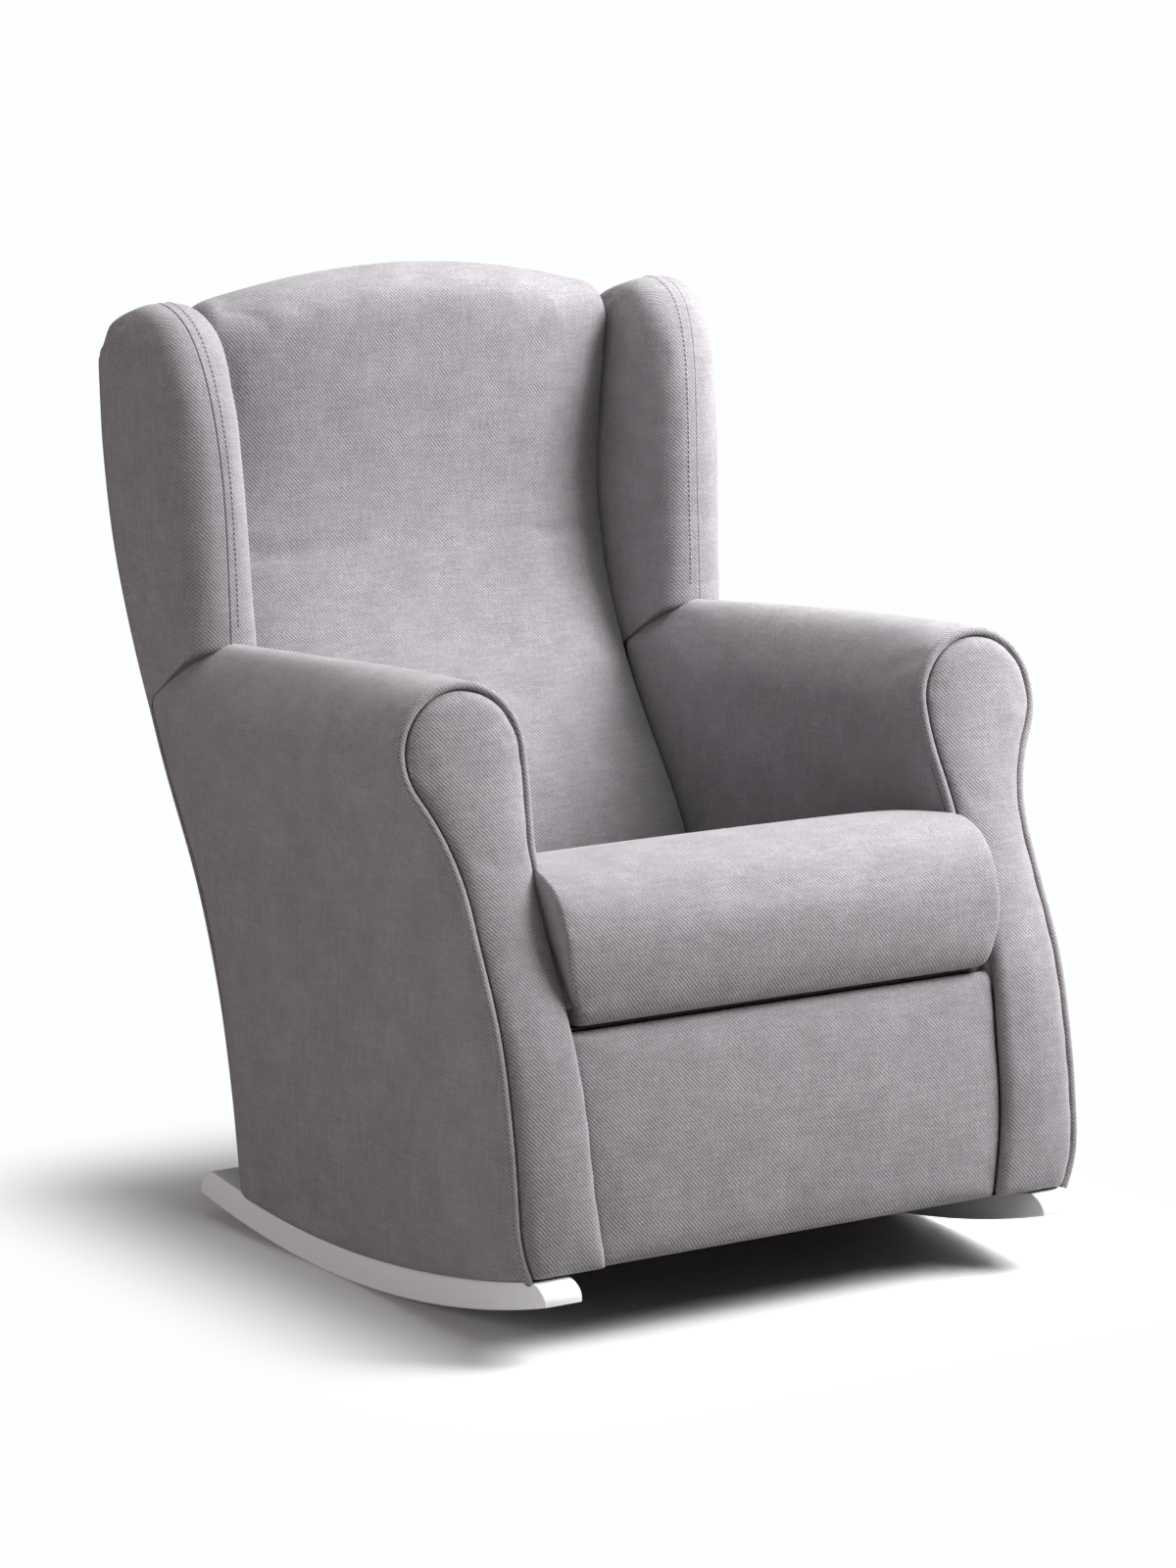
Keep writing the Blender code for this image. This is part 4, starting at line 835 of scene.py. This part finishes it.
def arm_sections():
    """The arm's cover from the front, at its front and at its back: lines of (x, z), point for point.

    The third value says which points are on the outside.
    """
    neck_z = neck_height(ROLL_RADIUS, SIDE_X)
    turn = math.asin((ROLL_Z - neck_z) / (NECK_RADIUS + ROLL_RADIUS))  # roll's middle down to the hollow
    back_roll_z = ROLL_Z - ROLL_DROP
    front, back, outside = [], [], []
    for z in np.linspace(WALL_FOOT, ROLL_Z, ARM_WALL_POINTS + 1)[:-1]:
        lean = float(np.clip((z - 0.30) / (ROLL_Z - 0.30), 0, 1)) ** 1.5 * (ARM_IN_X - (ROLL_X - ROLL_RADIUS))
        front.append((ARM_IN_X - lean, z))
        share = (z - WALL_FOOT) / (ROLL_Z - WALL_FOOT)
        back.append((ARM_IN_X, WALL_FOOT + (back_roll_z - WALL_FOOT) * share))
        outside.append(False)
    mid_x, half = (ARM_IN_X + SIDE_X) / 2, (SIDE_X - ARM_IN_X) / 2
    for t in np.linspace(math.pi, -turn, sizes().roll_points):
        front.append((ROLL_X + ROLL_RADIUS * math.cos(t), ROLL_Z + ROLL_RADIUS * math.sin(t)))
        x = mid_x + half * math.cos(t) if t > 0 else SIDE_X
        back.append((x, back_roll_z + ROLL_RADIUS * math.sin(t)))
        outside.append(t <= 0.9)
    roll_end = ROLL_RADIUS * math.sin(turn)
    for z in np.linspace(ROLL_Z - roll_end, SIDE_HEM, ARM_SIDE_POINTS + 1)[1:]:
        hollow = math.sqrt(max(NECK_RADIUS**2 - max(z - neck_z, 0.0) ** 2, 0.0))
        front.append((SIDE_X + NECK_RADIUS - hollow, z))
        share = (z - SIDE_HEM) / (ROLL_Z - roll_end - SIDE_HEM)
        back.append((SIDE_X, SIDE_HEM + (back_roll_z - roll_end - SIDE_HEM) * share))
        outside.append(True)
    return np.array(front), np.array(back), np.array(outside)


def arm_lining():
    """The same points down the timber's side of the cover, in (x, z)."""
    near, far = TIMBER_IN_X - GAP, TIMBER_OUT_X + GAP
    inside = [(near, z) for z in np.linspace(WALL_FOOT, RAIL_TOP - 0.02, ARM_WALL_POINTS)]
    top = RAIL_TOP + GAP
    corners = [(near, RAIL_TOP - 0.015), (near, top), (far, top), (far, RAIL_TOP - 0.06)]
    over = spaced(corners, sizes().roll_points)
    down = [(far, z) for z in np.linspace(RAIL_TOP - 0.065, SIDE_HEM, ARM_SIDE_POINTS)]
    return np.array([*inside, *over, *down])


def arm_back_y(z, outside):
    """Where the arm's cover ends: at the outside back, under the back's pad, or at the wing's seam."""
    end = rear_y(z) - np.where(outside, BACK_COVER + GAP, TUCK_DEPTH)
    return np.minimum(end, wing_seam_y(z) + 0.0035)


def to_runner(z, y, outside):
    """Heights of the outside's lower part, drawn down so that its hem follows the runner."""
    start = 0.30
    foot = runner_top(y) + 0.0012
    return np.where(outside & (z < start), foot + (z - SIDE_HEM) * (start - foot) / (start - SIDE_HEM), z)


class CHAIR_OT_arms(bpy.types.Operator):
    """Makes each arm's cover: up the inner wall, over the roll and down the outside in one cloth"""

    bl_idname = "chair.arms"
    bl_label = "Arms"

    def execute(self, context):
        front, back, outside = arm_sections()
        lining = arm_lining()
        shares = [0, 0.004, 0.010, 0.019, 0.03, *np.linspace(0.045, 0.955, 42), 0.975, 0.99, 1.0]
        for ending, side in SIDES:
            rows = [self.section(share, front, back, outside, lining) for share in shares]
            outer, inner = (mirrored(np.array(part), side) for part in zip(*rows))
            free = np.ones(outer.shape[:2])
            free[:3] = 0
            free[-3:] = 0
            free[:, -4:] = 0
            obj = pillow(f"arm_cover_{ending}", outer, inner, free)
            puff(obj, sizes().filling, 0.0035)
            smooth_surface(obj)
            nodes = [f"arm_pad_{ending}", f"side_cover_{ending}"]
            dress(obj, "chair", "brushed_twill", nodes)
        return {"FINISHED"}

    def section(self, share, front, back, outside, lining):
        """The cover and its lining in XYZ, at one share of the way from the arm's front to its back."""
        line = front * (1 - share) + back * share
        along = headings(line)
        out = np.stack([-along[:, 1], along[:, 0]], axis=1)
        length = 0.66  # of the cover, so that the tucks at its ends keep their real size
        front_tuck = 0.0055 * math.exp(-share * length / 0.011)
        back_tuck = 0.0022 * math.exp(-(1 - share) * length / 0.003)
        up = np.clip((line[:, 1] - ROLL_Z) / ROLL_RADIUS, 0, 1)
        crest = 0.0045 * math.sin(math.pi * share**0.9) * up
        line = line - out * (front_tuck + back_tuck) + np.stack([np.zeros_like(crest), crest], axis=1)
        ends = []
        for heights in (line[:, 1], lining[:, 1]):
            start = front_y(np.minimum(heights, ARM_TOP)) + 0.0062
            ends.append(start + (arm_back_y(heights, outside) - start) * share)
        z = to_runner(line[:, 1], ends[0], outside)
        crown = 0.004 * math.sin(math.pi * share) * outside * np.clip((0.5 - z) / 0.2, 0, 1)
        x = line[:, 0] + crown + splay(z) * share * outside
        lining_z = to_runner(lining[:, 1], ends[1], outside)
        lining_x = lining[:, 0] + splay(lining_z) * share * outside
        return np.stack([x, ends[0], z], axis=1), np.stack([lining_x, ends[1], lining_z], axis=1)


def facing_outline():
    """The facing's keyhole outline, anticlockwise from its inner foot, as (x, z)."""
    heights = np.linspace(FACING_FOOT, ROLL_Z, 90)
    inner = np.stack([facing_inner_x(heights), heights], axis=1)
    outer = np.stack([facing_outer_x(heights), heights], axis=1)
    turns = np.linspace(0, math.pi, 60)[1:-1]
    over = np.stack([ROLL_X + FACING_RADIUS * np.cos(turns), ROLL_Z + FACING_RADIUS * np.sin(turns)], axis=1)
    return np.concatenate([outer, over, inner[::-1]])


class CHAIR_OT_facings(bpy.types.Operator):
    """Makes each arm's padded front and the piping round it"""

    bl_idname = "chair.facings"
    bl_label = "Facings and piping"

    def execute(self, context):
        edge = spaced(facing_outline(), 500)
        upright = np.linspace(FACING_FOOT, ROLL_Z - FACING_RADIUS * 0.55, 46)
        over = ROLL_Z + FACING_RADIUS * np.sin(np.linspace(-0.5, math.pi / 2 - 0.06, 20))
        shares = np.sin(np.linspace(-math.pi / 2, math.pi / 2, 25)) * 0.5 + 0.5
        for ending, side in SIDES:
            outer, inner = [], []
            for z in np.concatenate([upright, over]):
                a, b = float(facing_inner_x(z)), float(facing_outer_x(z))
                x = a + (b - a) * shares
                away = np.sqrt((x[:, None] - edge[:, 0]) ** 2 + (z - edge[:, 1]) ** 2).min(axis=1)
                away = np.minimum(away, z - FACING_FOOT + 0.004)
                rim = np.clip(away / np.where(x < (a + b) / 2, 0.009, 0.013), 0, 1)
                bulge = 0.0078 * np.sqrt(1 - (1 - rim) ** 2) + 0.0058 * (1 - np.exp(-away / 0.03))
                level = np.full_like(x, z)
                outer.append(np.stack([x, front_y(z) + 0.001 - bulge, level], axis=1))
                inner.append(np.stack([x, np.full_like(x, front_y(z) + 0.0052), level], axis=1))
            obj = pillow(f"facing_{ending}", mirrored(np.array(outer), side), mirrored(np.array(inner), side))
            puff(obj, sizes().filling, 0.002)
            smooth_surface(obj)
            dress(obj, "chair", "brushed_twill", [f"facing_pad_{ending}"])
            self.piping(ending, side)
        return {"FINISHED"}

    def piping(self, ending, side):
        """The cord round the facing, which ends under the cushion on its inner side."""
        radius = sizes().welt_radius
        line = spaced(facing_outline(), 900)
        along = headings(line)
        path = line + np.stack([along[:, 1], -along[:, 0]], axis=1) * (radius + 0.0008)
        keep = (path[:, 0] > ROLL_X) | (path[:, 1] > DECK_FRONT[1] + 0.018)
        path = spaced(path[keep], 190)
        welt = [(side * x, float(front_y(min(z, ARM_TOP))) + radius * 0.55, z) for x, z in path]
        obj = tube(f"facing_piping_{ending}", welt, radius, 14)
        smooth_surface(obj)
        dress(obj, "chair", "brushed_twill", [f"facing_welt_{ending}"])


def wing_edge():
    """The wing's front and top edge in YZ, from the arm seam up and over to the back's outside."""
    nose = BACK_Y - WING_REACH
    rise = WING_TOP - WING_SEAM_Z
    points = [
        (nose, WING_SEAM_Z - 0.004),
        (nose + 0.004, WING_SEAM_Z + 0.24 * rise),
        (nose + 0.012, WING_SEAM_Z + 0.55 * rise),
        (nose + 0.028, WING_SEAM_Z + 0.79 * rise),
        (nose + 0.056, WING_SEAM_Z + 0.94 * rise),
        (nose + 0.100, WING_TOP),
        (nose + 0.136, WING_TOP - 0.007),
        (nose + 0.162, WING_TOP - 0.020),
        (BACK_Y - BACK_COVER, WING_CORNER_Z),
    ]
    return spline(points, 10)


def wing_ring(amount):
    """The wing's section at one depth, in YZ, with its front and top edge moved in by the amount."""
    whole = wing_edge()
    below_z = 0.45  # closes the outline well under the seam
    closed = np.concatenate([whole[::-1], [(whole[0][0], below_z), (BACK_Y, below_z)]])
    past = np.clip((closed[:, 0] - (BACK_Y - WING_REACH) - 0.07) / 0.10, 0, 1)
    edge = inset(closed, amount * (1 - 0.72 * past**2 * (3 - 2 * past)))[1 : len(whole) - 1]
    edge = edge[edge[:, 0] < rear_y(edge[:, 1]) - BACK_COVER - 0.001]
    heights = np.linspace(0.527, edge[0, 1] - 0.004, 60)
    rear = np.stack([rear_y(heights) - BACK_COVER, heights], axis=1)
    bottom_y = np.linspace(edge[-1, 0], rear[0, 0], 40)
    bottom = np.stack([bottom_y, wing_seam_z(bottom_y)], axis=1)
    edge = edge[edge[:, 1] > bottom[0, 1] + 0.002]
    peak = int(np.argmax(edge[:, 1]))
    rear_line = spaced(rear, WING_REAR_POINTS + 1)[:-1]
    top_line = spaced([rear[-1], *edge[: peak + 1]], WING_TOP_POINTS)
    front_line = spaced([*edge[peak:], bottom[0]], WING_EDGE_POINTS - WING_TOP_POINTS + 2)[1:-1]
    return np.concatenate([rear_line, top_line, front_line, spaced(bottom, 20)[:-1]])


def stitch_row(name, path, out):
    """A row of short stitches lying on a path; out points away from the cloth."""
    count = int(np.linalg.norm(np.diff(path, axis=0), axis=1).sum() / sizes().stitch_pitch)
    both = spaced(np.concatenate([path, out], axis=1), 4 * count)
    path = both[::4, :3]
    out = both[::4, 3:] / np.linalg.norm(both[::4, 3:], axis=1)[:, None]
    around = 8
    turns = np.linspace(0, math.tau, around, endpoint=False)
    # Along a stitch: share of its length, share of its thickness, how far it stands off the cloth.
    rings = ((-0.5, 0.3, -0.5), (-0.3, 0.9, 0.2), (0.0, 1.0, 0.4), (0.3, 0.9, 0.2), (0.5, 0.3, -0.5))
    ends = [list(range(around))[::-1], [(len(rings) - 1) * around + k for k in range(around)]]
    stitch = [*ring_faces(len(rings), around), *ends]
    points, faces = [], []
    for centre, heading, away in zip(path, headings(path), out):
        across = np.cross(heading, away)
        faces += [[len(points) + k for k in face] for face in stitch]
        for step, size, lift in rings:
            middle = centre + heading * step * sizes().stitch_length + away * lift * STITCH
            points += [middle + STITCH * size * (math.cos(t) * across + math.sin(t) * away) for t in turns]
    dress(mesh_object(name, points, faces), "chair", "sewing_thread", [])


def rounding(share, power):
    """Fall of a rounded edge, from 0 at its start to 1 at its end."""
    return 1 - (1 - share**power) ** (1 / power)


def wing_x(share, z):
    """Across the wing: -1 at its inside face, 0 at the seam, 1 at its outside face."""
    high_up = np.clip((np.asarray(z) - 0.70) / 0.25, 0, 1)
    seam = WING_SEAM_X + 0.019 * high_up**2
    outside = SIDE_X + splay(z)
    inside = ARM_IN_X + splay(z)
    return seam + share * np.where(share < 0, seam - inside, outside - seam)


class CHAIR_OT_wings(bpy.types.Operator):
    """Makes each wing, round its front edge to the seam, and the row of stitches beside the seam"""

    bl_idname = "chair.wings"
    bl_label = "Wings"

    def execute(self, context):
        inner_shares = (1.0, 0.985, 0.955, 0.90, 0.82, 0.71, 0.57, 0.40, 0.24)
        slices = [(-u, 0.037 * rounding(u, 2.5)) for u in inner_shares]
        slices += [(-0.10, 0.0), (-0.028, -0.0003), (-0.010, 0.0)]
        seam = len(slices)
        slices += [(0.0, sizes().seam_depth * 0.7)]
        slices += [(0.012, 0.0004), (0.035, 0.0003), (0.12, 0.0006)]
        slices += [(u, 0.030 * rounding(u, 2.1)) for u in (0.27, 0.45, 0.62, 0.77, 0.88, 0.95, 0.985, 1.0)]
        for ending, side in SIDES:
            rings = []
            for share, amount in slices:
                ring = wing_ring(amount)
                rings.append(np.stack([side * wing_x(share, ring[:, 1]), ring[:, 0], ring[:, 1]], axis=1))
            held = [*range(WING_REAR_POINTS), *range(WING_REAR_POINTS + WING_EDGE_POINTS - 2, len(rings[0]))]
            obj = panelled(f"wing_{ending}", rings, 10, range(seam - 3, seam + 4), held)
            puff(obj, sizes().filling, 0.003)
            smooth_surface(obj)
            nodes = [f"wing_pad_{ending}", f"wing_cover_{ending}"]
            dress(obj, "chair", "brushed_twill", nodes)
            self.stitches(ending, side)
        return {"FINISHED"}

    def stitches(self, ending, side):
        """Topstitches beside the wing's seam."""
        edge = wing_ring(-0.0002)[WING_REAR_POINTS + 2 : WING_REAR_POINTS + WING_EDGE_POINTS - 1]
        row = np.stack([wing_x(-0.24, edge[:, 1]), edge[:, 0], edge[:, 1]], axis=1)
        out = np.stack([np.zeros(len(edge)), -np.gradient(edge[:, 1]), np.gradient(edge[:, 0])], axis=1)
        stitch_row(f"wing_stitching_{ending}", mirrored(row, side), mirrored(-out, side))


class CHAIR_OT_back(bpy.types.Operator):
    """Makes the padded inside back with its arched top, and the panel behind it"""

    bl_idname = "chair.back"
    bl_label = "Back"

    def execute(self, context):
        self.inside()
        self.outside()
        return {"FINISHED"}

    def inside(self):
        """The padded front of the back, over its top and down to the outside back."""
        across = np.sin(np.linspace(-math.pi / 2, math.pi / 2, 49)) * 0.45 + np.linspace(-1, 1, 49) * 0.55
        rows = [*np.linspace(0, 0.9, 46), 0.925, 0.95, 0.975, 1.0]
        turns = np.linspace(0, math.pi, 17)[1:]
        low_z = 0.300  # under the cushion's back
        top_roll = 0.030  # height of the rounding over the top
        outer, inner = [], []
        for share in rows:
            line, behind = [], []
            for a in across:
                top = arch_z(a * BACK_HALF)
                line.append(self.front_point(a, low_z + (top - top_roll - low_z) * share))
                behind.append(self.lining_point(a, low_z + (top - 0.055 - low_z) * share))
            outer.append(line)
            inner.append(behind)
        for turn in turns:
            line, behind = [], []
            for a in across:
                base_z = arch_z(a * BACK_HALF) - top_roll
                x, y, _ = self.front_point(a, base_z)
                rear = float(rear_y(base_z)) - BACK_COVER - GAP
                middle, half = (y + rear) / 2, (rear - y) / 2
                z = base_z + top_roll * math.sin(turn) ** 0.85 if turn < math.pi else base_z
                line.append((x, middle - half * math.cos(turn), z))
                x, y, z = self.lining_point(a, arch_z(a * BACK_HALF) - 0.050)
                share = turn / math.pi
                behind.append((x, y + (rear - 0.001 - y) * share, z + 0.031 * math.sin(turn)))
            outer.append(line)
            inner.append(behind)
        outer.append([(x, y, z - 0.02) for x, y, z in outer[-1]])
        inner.append([(x, y, z - 0.008) for x, y, z in inner[-1]])
        obj = pillow("inside_back", np.array(outer, float), np.array(inner, float))
        puff(obj, sizes().filling, 0.006)
        smooth_surface(obj)
        dress(obj, "chair", "brushed_twill", ["back_pad"])

    def front_point(self, share, z):
        """A point of the back's padded front, which rounds in beside the wings."""
        half = BACK_HALF + float(splay(z)) + 0.001
        crown = BACK_CROWN * (1 - abs(share) ** 3.2)
        thick = float(BACK_THICKNESS(z / HEIGHT)) + crown
        near = (1 - abs(share)) * half
        round_in = 0.022
        fall = round_in * 0.62 * (1 - math.sqrt(1 - max(0.0, 1 - near / round_in) ** 2))
        return share * half, float(rear_y(z)) - thick + fall, z

    def lining_point(self, share, z):
        """A point of the timber's side of the back's padding."""
        half = BACK_HALF + float(splay(z)) - 0.002
        return share * half, float(rear_y(z)) - 0.0405, z

    def outside(self):
        """The panel behind, drawn down over the runners at its corners."""
        across = np.linspace(-1, 1, 45)
        across = np.sign(across) * (1 - (1 - np.abs(across)) ** 1.25)
        rows = 1 - (1 - np.linspace(0, 1, 64)) ** 1.15
        outer, inner = [], []
        runner = float(runner_top(rear_y(BORDER_FOOT))) + 0.002
        for share in rows:
            line, behind = [], []
            for a in across:
                x = a * SIDE_X
                over_runner = np.clip((abs(x) - (SIDE_X - 0.066)) / 0.010, 0, 1)
                low_z = BORDER_FOOT + (runner - BORDER_FOOT) * over_runner
                arch = float(arch_z(min(abs(x), BACK_HALF - 0.022))) - 0.007
                shoulder = WING_CORNER_Z - 0.002
                mix = np.clip((abs(x) - 0.215) / 0.045, 0, 1)
                top = arch + (shoulder - arch) * mix**2 * (3 - 2 * mix)
                corner = np.clip((abs(x) - (SIDE_X - 0.028)) / 0.028, 0, 1)
                top -= 0.014 * (1 - math.sqrt(1 - 0.97 * corner**2))
                z = low_z + (top - low_z) * share
                wide = x * (1 + float(splay(z)) / SIDE_X)
                near = min((1 - abs(a)) * SIDE_X, (1 - share) * (top - low_z), share * (top - low_z))
                rim = min(near / 0.006, 1.0)
                proud = 0.0015 * (1 - math.exp(-near / 0.05)) - 0.004 * (1 - math.sqrt(1 - (1 - rim) ** 2))
                line.append((wide, float(rear_y(z)) + proud, z))
                behind.append((wide, float(rear_y(z)) - BACK_COVER + 0.0004, z))
            outer.append(line)
            inner.append(behind)
        obj = pillow("outside_back_cover", np.array(outer, float), np.array(inner, float))
        puff(obj, sizes().filling * 0.5, 0.0015)
        smooth_surface(obj)
        dress(obj, "chair", "brushed_twill", ["outside_back"])


class CHAIR_OT_border(bpy.types.Operator):
    """Makes the flat panel under the cushion"""

    bl_idname = "chair.border"
    bl_label = "Front border"

    def execute(self, context):
        across = np.sin(np.linspace(-math.pi / 2, math.pi / 2, 41)) * 0.3 + np.linspace(-1, 1, 41) * 0.7
        shares = [0.0, 0.004, 0.010, 0.02, *np.linspace(0.045, 0.955, 22), 0.97, 0.985, 0.995, 1.0]
        top = BORDER_TOP + 0.0035
        outer, inner = [], []
        for share in shares:
            z = BORDER_FOOT + (top - BORDER_FOOT) * share
            half = float(facing_inner_x(z)) - 0.0004
            near_end = min(share, 1 - share) * (top - BORDER_FOOT)
            edge = 0.007 * (1 - math.sqrt(1 - max(0.0, 1 - near_end / 0.009) ** 2))
            line, behind = [], []
            for a in across:
                near_side = (1 - abs(a)) * half
                side = 0.002 * (1 - math.sqrt(1 - max(0.0, 1 - near_side / 0.003) ** 2))
                crown = 0.002 * (1 - a**2) * math.sin(math.pi * share)
                line.append((a * half, float(front_y(z)) + 0.003 + edge + side - crown, z))
                behind.append((a * half, float(front_y(z)) + 0.0125, z))
            outer.append(line)
            inner.append(behind)
        obj = pillow("front_border_cover", np.array(outer, float), np.array(inner, float))
        puff(obj, sizes().filling * 0.6, 0.002)
        smooth_surface(obj)
        dress(obj, "chair", "brushed_twill", ["front_border"])
        return {"FINISHED"}


def cushion_profile():
    """The cushion from the side, anticlockwise from its lower front corner, in YZ."""
    front = (DECK_FRONT[0] + 0.001, DECK_FRONT[1] + GAP)
    back_y = CUSHION_HIGH.y - 0.063
    top_front = (DECK_FRONT[0] + 0.006, DECK_FRONT[1] + CUSHION_FRONT_RISE)
    top_back_y = CUSHION_HIGH.y - 0.001
    top_back_z = top_front[1] - (top_back_y - top_front[0]) * math.tan(CUSHION_TOP_SLOPE)
    corners = [front, (back_y, deck_z(back_y) + GAP), (top_back_y, top_back_z), top_front]
    radii = [0.016, 0.014, 0.030, 0.125]
    outline = []
    for i, corner in enumerate(corners):
        before, corner, after = np.array([corners[i - 1], corner, corners[(i + 1) % 4]])
        start = corner + (before - corner) * radii[i] / np.linalg.norm(before - corner)
        end = corner + (after - corner) * radii[i] / np.linalg.norm(after - corner)
        for t in np.linspace(0, 1, 14):
            outline.append((1 - t) ** 2 * start + 2 * t * (1 - t) * corner + t**2 * end)
    outline.append(outline[0])
    return spaced(outline, 141)[:-1]


class CHAIR_OT_cushion(bpy.types.Operator):
    """Makes the loose seat cushion: one panel round front, top and bottom, and a boxed side at each end"""

    bl_idname = "chair.cushion"
    bl_label = "Seat cushion"

    def execute(self, context):
        profile = cushion_profile()
        half = CUSHION_HIGH.x - 0.0005
        near = [0.0, 0.0007, 0.0018, 0.0038, 0.0065, 0.010, 0.014, 0.020, 0.028, 0.040, 0.055]
        inward = [half - d for d in near]
        xs = [*[-x for x in inward], *np.linspace(-half + 0.073, half - 0.073, 24), *inward[::-1]]
        rings = [self.ring(profile, half, x) for x in xs]
        under = [i for i, (y, z) in enumerate(profile) if z < deck_z(y) + 0.004]
        count = len(xs)
        seams = (0, 1, 2, count - 3, count - 2, count - 1)
        obj = panelled("boxed_seat_cushion", rings, 12, seams, under)
        puff(obj, sizes().filling, 0.004)
        smooth_surface(obj)
        dress(obj, "cushion", "brushed_twill", ["seat_cushion"])
        return {"FINISHED"}

    def ring(self, profile, half, x):
        """The profile at one place across: drawn in at the seam, crowned, wider in front of the facings."""
        from_end = half - abs(x)
        pull = 0.0045 * rounding(max(0.0, 1 - from_end / 0.009), 2.0)
        if 0.0004 < from_end < 0.001:
            pull += sizes().seam_depth
        crown = 0.002 * (1 - (x / half) ** 2)
        above_deck = np.clip((profile[:, 1] - deck_z(profile[:, 0]) - 0.04) / 0.08, 0, 1)
        out = profile - profile.mean(axis=0)
        out /= np.linalg.norm(out, axis=1)[:, None]
        moved = inset(profile, pull) + out * (crown * above_deck)[:, None] * np.array([0.35, 1.0])
        z = np.maximum(moved[:, 1], deck_z(moved[:, 0]) + GAP)
        lifted = np.clip((moved[:, 1] - DECK_FRONT[1] - 0.008) / 0.045, 0, 1)
        in_front = np.clip((front_y(np.maximum(z, 0.3)) + 0.012 - moved[:, 0]) / 0.02, 0, 1)
        wider = 0.0155 * in_front * lifted**0.7
        return np.stack([x * (1 + wider / half), moved[:, 0], z], axis=1)


class CHAIR_OT_stage(bpy.types.Operator):
    """Makes the floor, the studio light and the camera"""

    bl_idname = "chair.stage"
    bl_label = "Studio"

    def execute(self, context):
        self.floor(context.scene.chair_colours)
        self.air(context.scene)
        aim = Vector((0.0, -0.001, 0.467))
        for name, place, size, power in (
            ("key_softbox", (1.6, -1.4, 2.0), 1.2, 110.0),
            ("near_softbox", (1.6, -0.5, 1.3), 0.9, 23.0),
            ("top_softbox", (0.3, -0.1, 2.6), 1.8, 36.0),
            ("rim_softbox", (1.4, 0.1, 2.4), 1.2, 38.0),
            ("fill_softbox", (-2.6, -0.1, 0.75), 1.2, 20.0),
        ):
            lamp = bpy.data.lights.new(name, "AREA")
            lamp.shape = "SQUARE"
            lamp.size = size
            lamp.energy = power
            if name == "fill_softbox":
                lamp.color = context.scene.chair_colours.air[:3]
            stand(name, lamp, place, aim)

        camera = bpy.data.cameras.new("studio_camera")
        camera.lens = 117.0
        camera.sensor_width = 36.0
        camera.clip_end = 100.0
        turn, rise, distance = math.radians(-33.19), math.radians(10.49), 5.238
        away = Vector((math.sin(turn) * math.cos(rise), -math.cos(turn) * math.cos(rise), math.sin(rise)))
        context.scene.camera = stand("studio_camera", camera, aim + distance * away, aim)
        return {"FINISHED"}

    def floor(self, colours):
        """A wide sheet of paper under the chair."""
        paper_material("matt_white_paper", colours.paper, colours.backdrop, colours.bounce)
        reach = 14.0
        points = [(-reach, -reach, 0), (reach, -reach, 0), (reach, reach, 0), (-reach, reach, 0)]
        floor = mesh_object("studio_floor", points, [[0, 1, 2, 3]])
        floor.data.materials.append(bpy.data.materials["matt_white_paper"])

    def air(self, scene):
        """Dim light from all round, and a white backdrop."""
        world = bpy.data.worlds.new("studio_air")
        world.use_nodes = True
        tree = world.node_tree
        sky = tree.nodes["Background"]
        sky.inputs[0].default_value = scene.chair_colours.air
        sky.inputs[1].default_value = 0.10
        seen = add(tree, "ShaderNodeLightPath").outputs["Is Camera Ray"]
        white = add(tree, "ShaderNodeBackground", {"Color": scene.chair_colours.backdrop, "Strength": 1.0})
        mix = add(tree, "ShaderNodeMixShader", {0: seen, 1: sky, 2: white})
        tree.links.new(mix.outputs[0], tree.nodes["World Output"].inputs[0])
        scene.world = world
        scene.view_settings.view_transform = "Standard"


def stand(name, data, place, aim):
    """Sets up a lamp or camera that looks at a point."""
    obj = bpy.data.objects.new(name, data)
    obj.location = place
    obj.rotation_euler = (aim - Vector(place)).to_track_quat("-Z", "Y").to_euler()
    bpy.context.scene.collection.objects.link(obj)
    return obj


STEPS = (
    CHAIR_OT_finishes,
    CHAIR_OT_stage,
    CHAIR_OT_runners,
    CHAIR_OT_arms,
    CHAIR_OT_facings,
    CHAIR_OT_wings,
    CHAIR_OT_back,
    CHAIR_OT_border,
    CHAIR_OT_cushion,
)


class CHAIR_PT_panel(bpy.types.Panel):
    """Lists the chair's pieces in the sidebar"""

    bl_label = "Armchair"
    bl_idname = "CHAIR_PT_panel"
    bl_space_type = "VIEW_3D"
    bl_region_type = "UI"
    bl_category = "Armchair"

    def draw(self, context):
        column = self.layout.column()
        for group in (context.scene.chair_sizes, context.scene.chair_colours):
            for name in group.__annotations__:
                column.prop(group, name)
        for step in STEPS:
            column.operator(step.bl_idname)


CLASSES = (ChairSizes, ChairColours, *STEPS, CHAIR_PT_panel)


def register():
    """Adds the settings, operators and panel."""
    for item in CLASSES:
        bpy.utils.register_class(item)
    bpy.types.Scene.chair_sizes = PointerProperty(type=ChairSizes)
    bpy.types.Scene.chair_colours = PointerProperty(type=ChairColours)


def unregister():
    """Takes them away again."""
    del bpy.types.Scene.chair_sizes
    del bpy.types.Scene.chair_colours
    for item in reversed(CLASSES):
        bpy.utils.unregister_class(item)


def main():
    """Makes every piece in order."""
    register()
    bpy.ops.chair.finishes()
    bpy.ops.chair.stage()
    bpy.ops.chair.runners()
    bpy.ops.chair.arms()
    bpy.ops.chair.facings()
    bpy.ops.chair.wings()
    bpy.ops.chair.back()
    bpy.ops.chair.border()
    bpy.ops.chair.cushion()


if __name__ == "__main__":
    main()
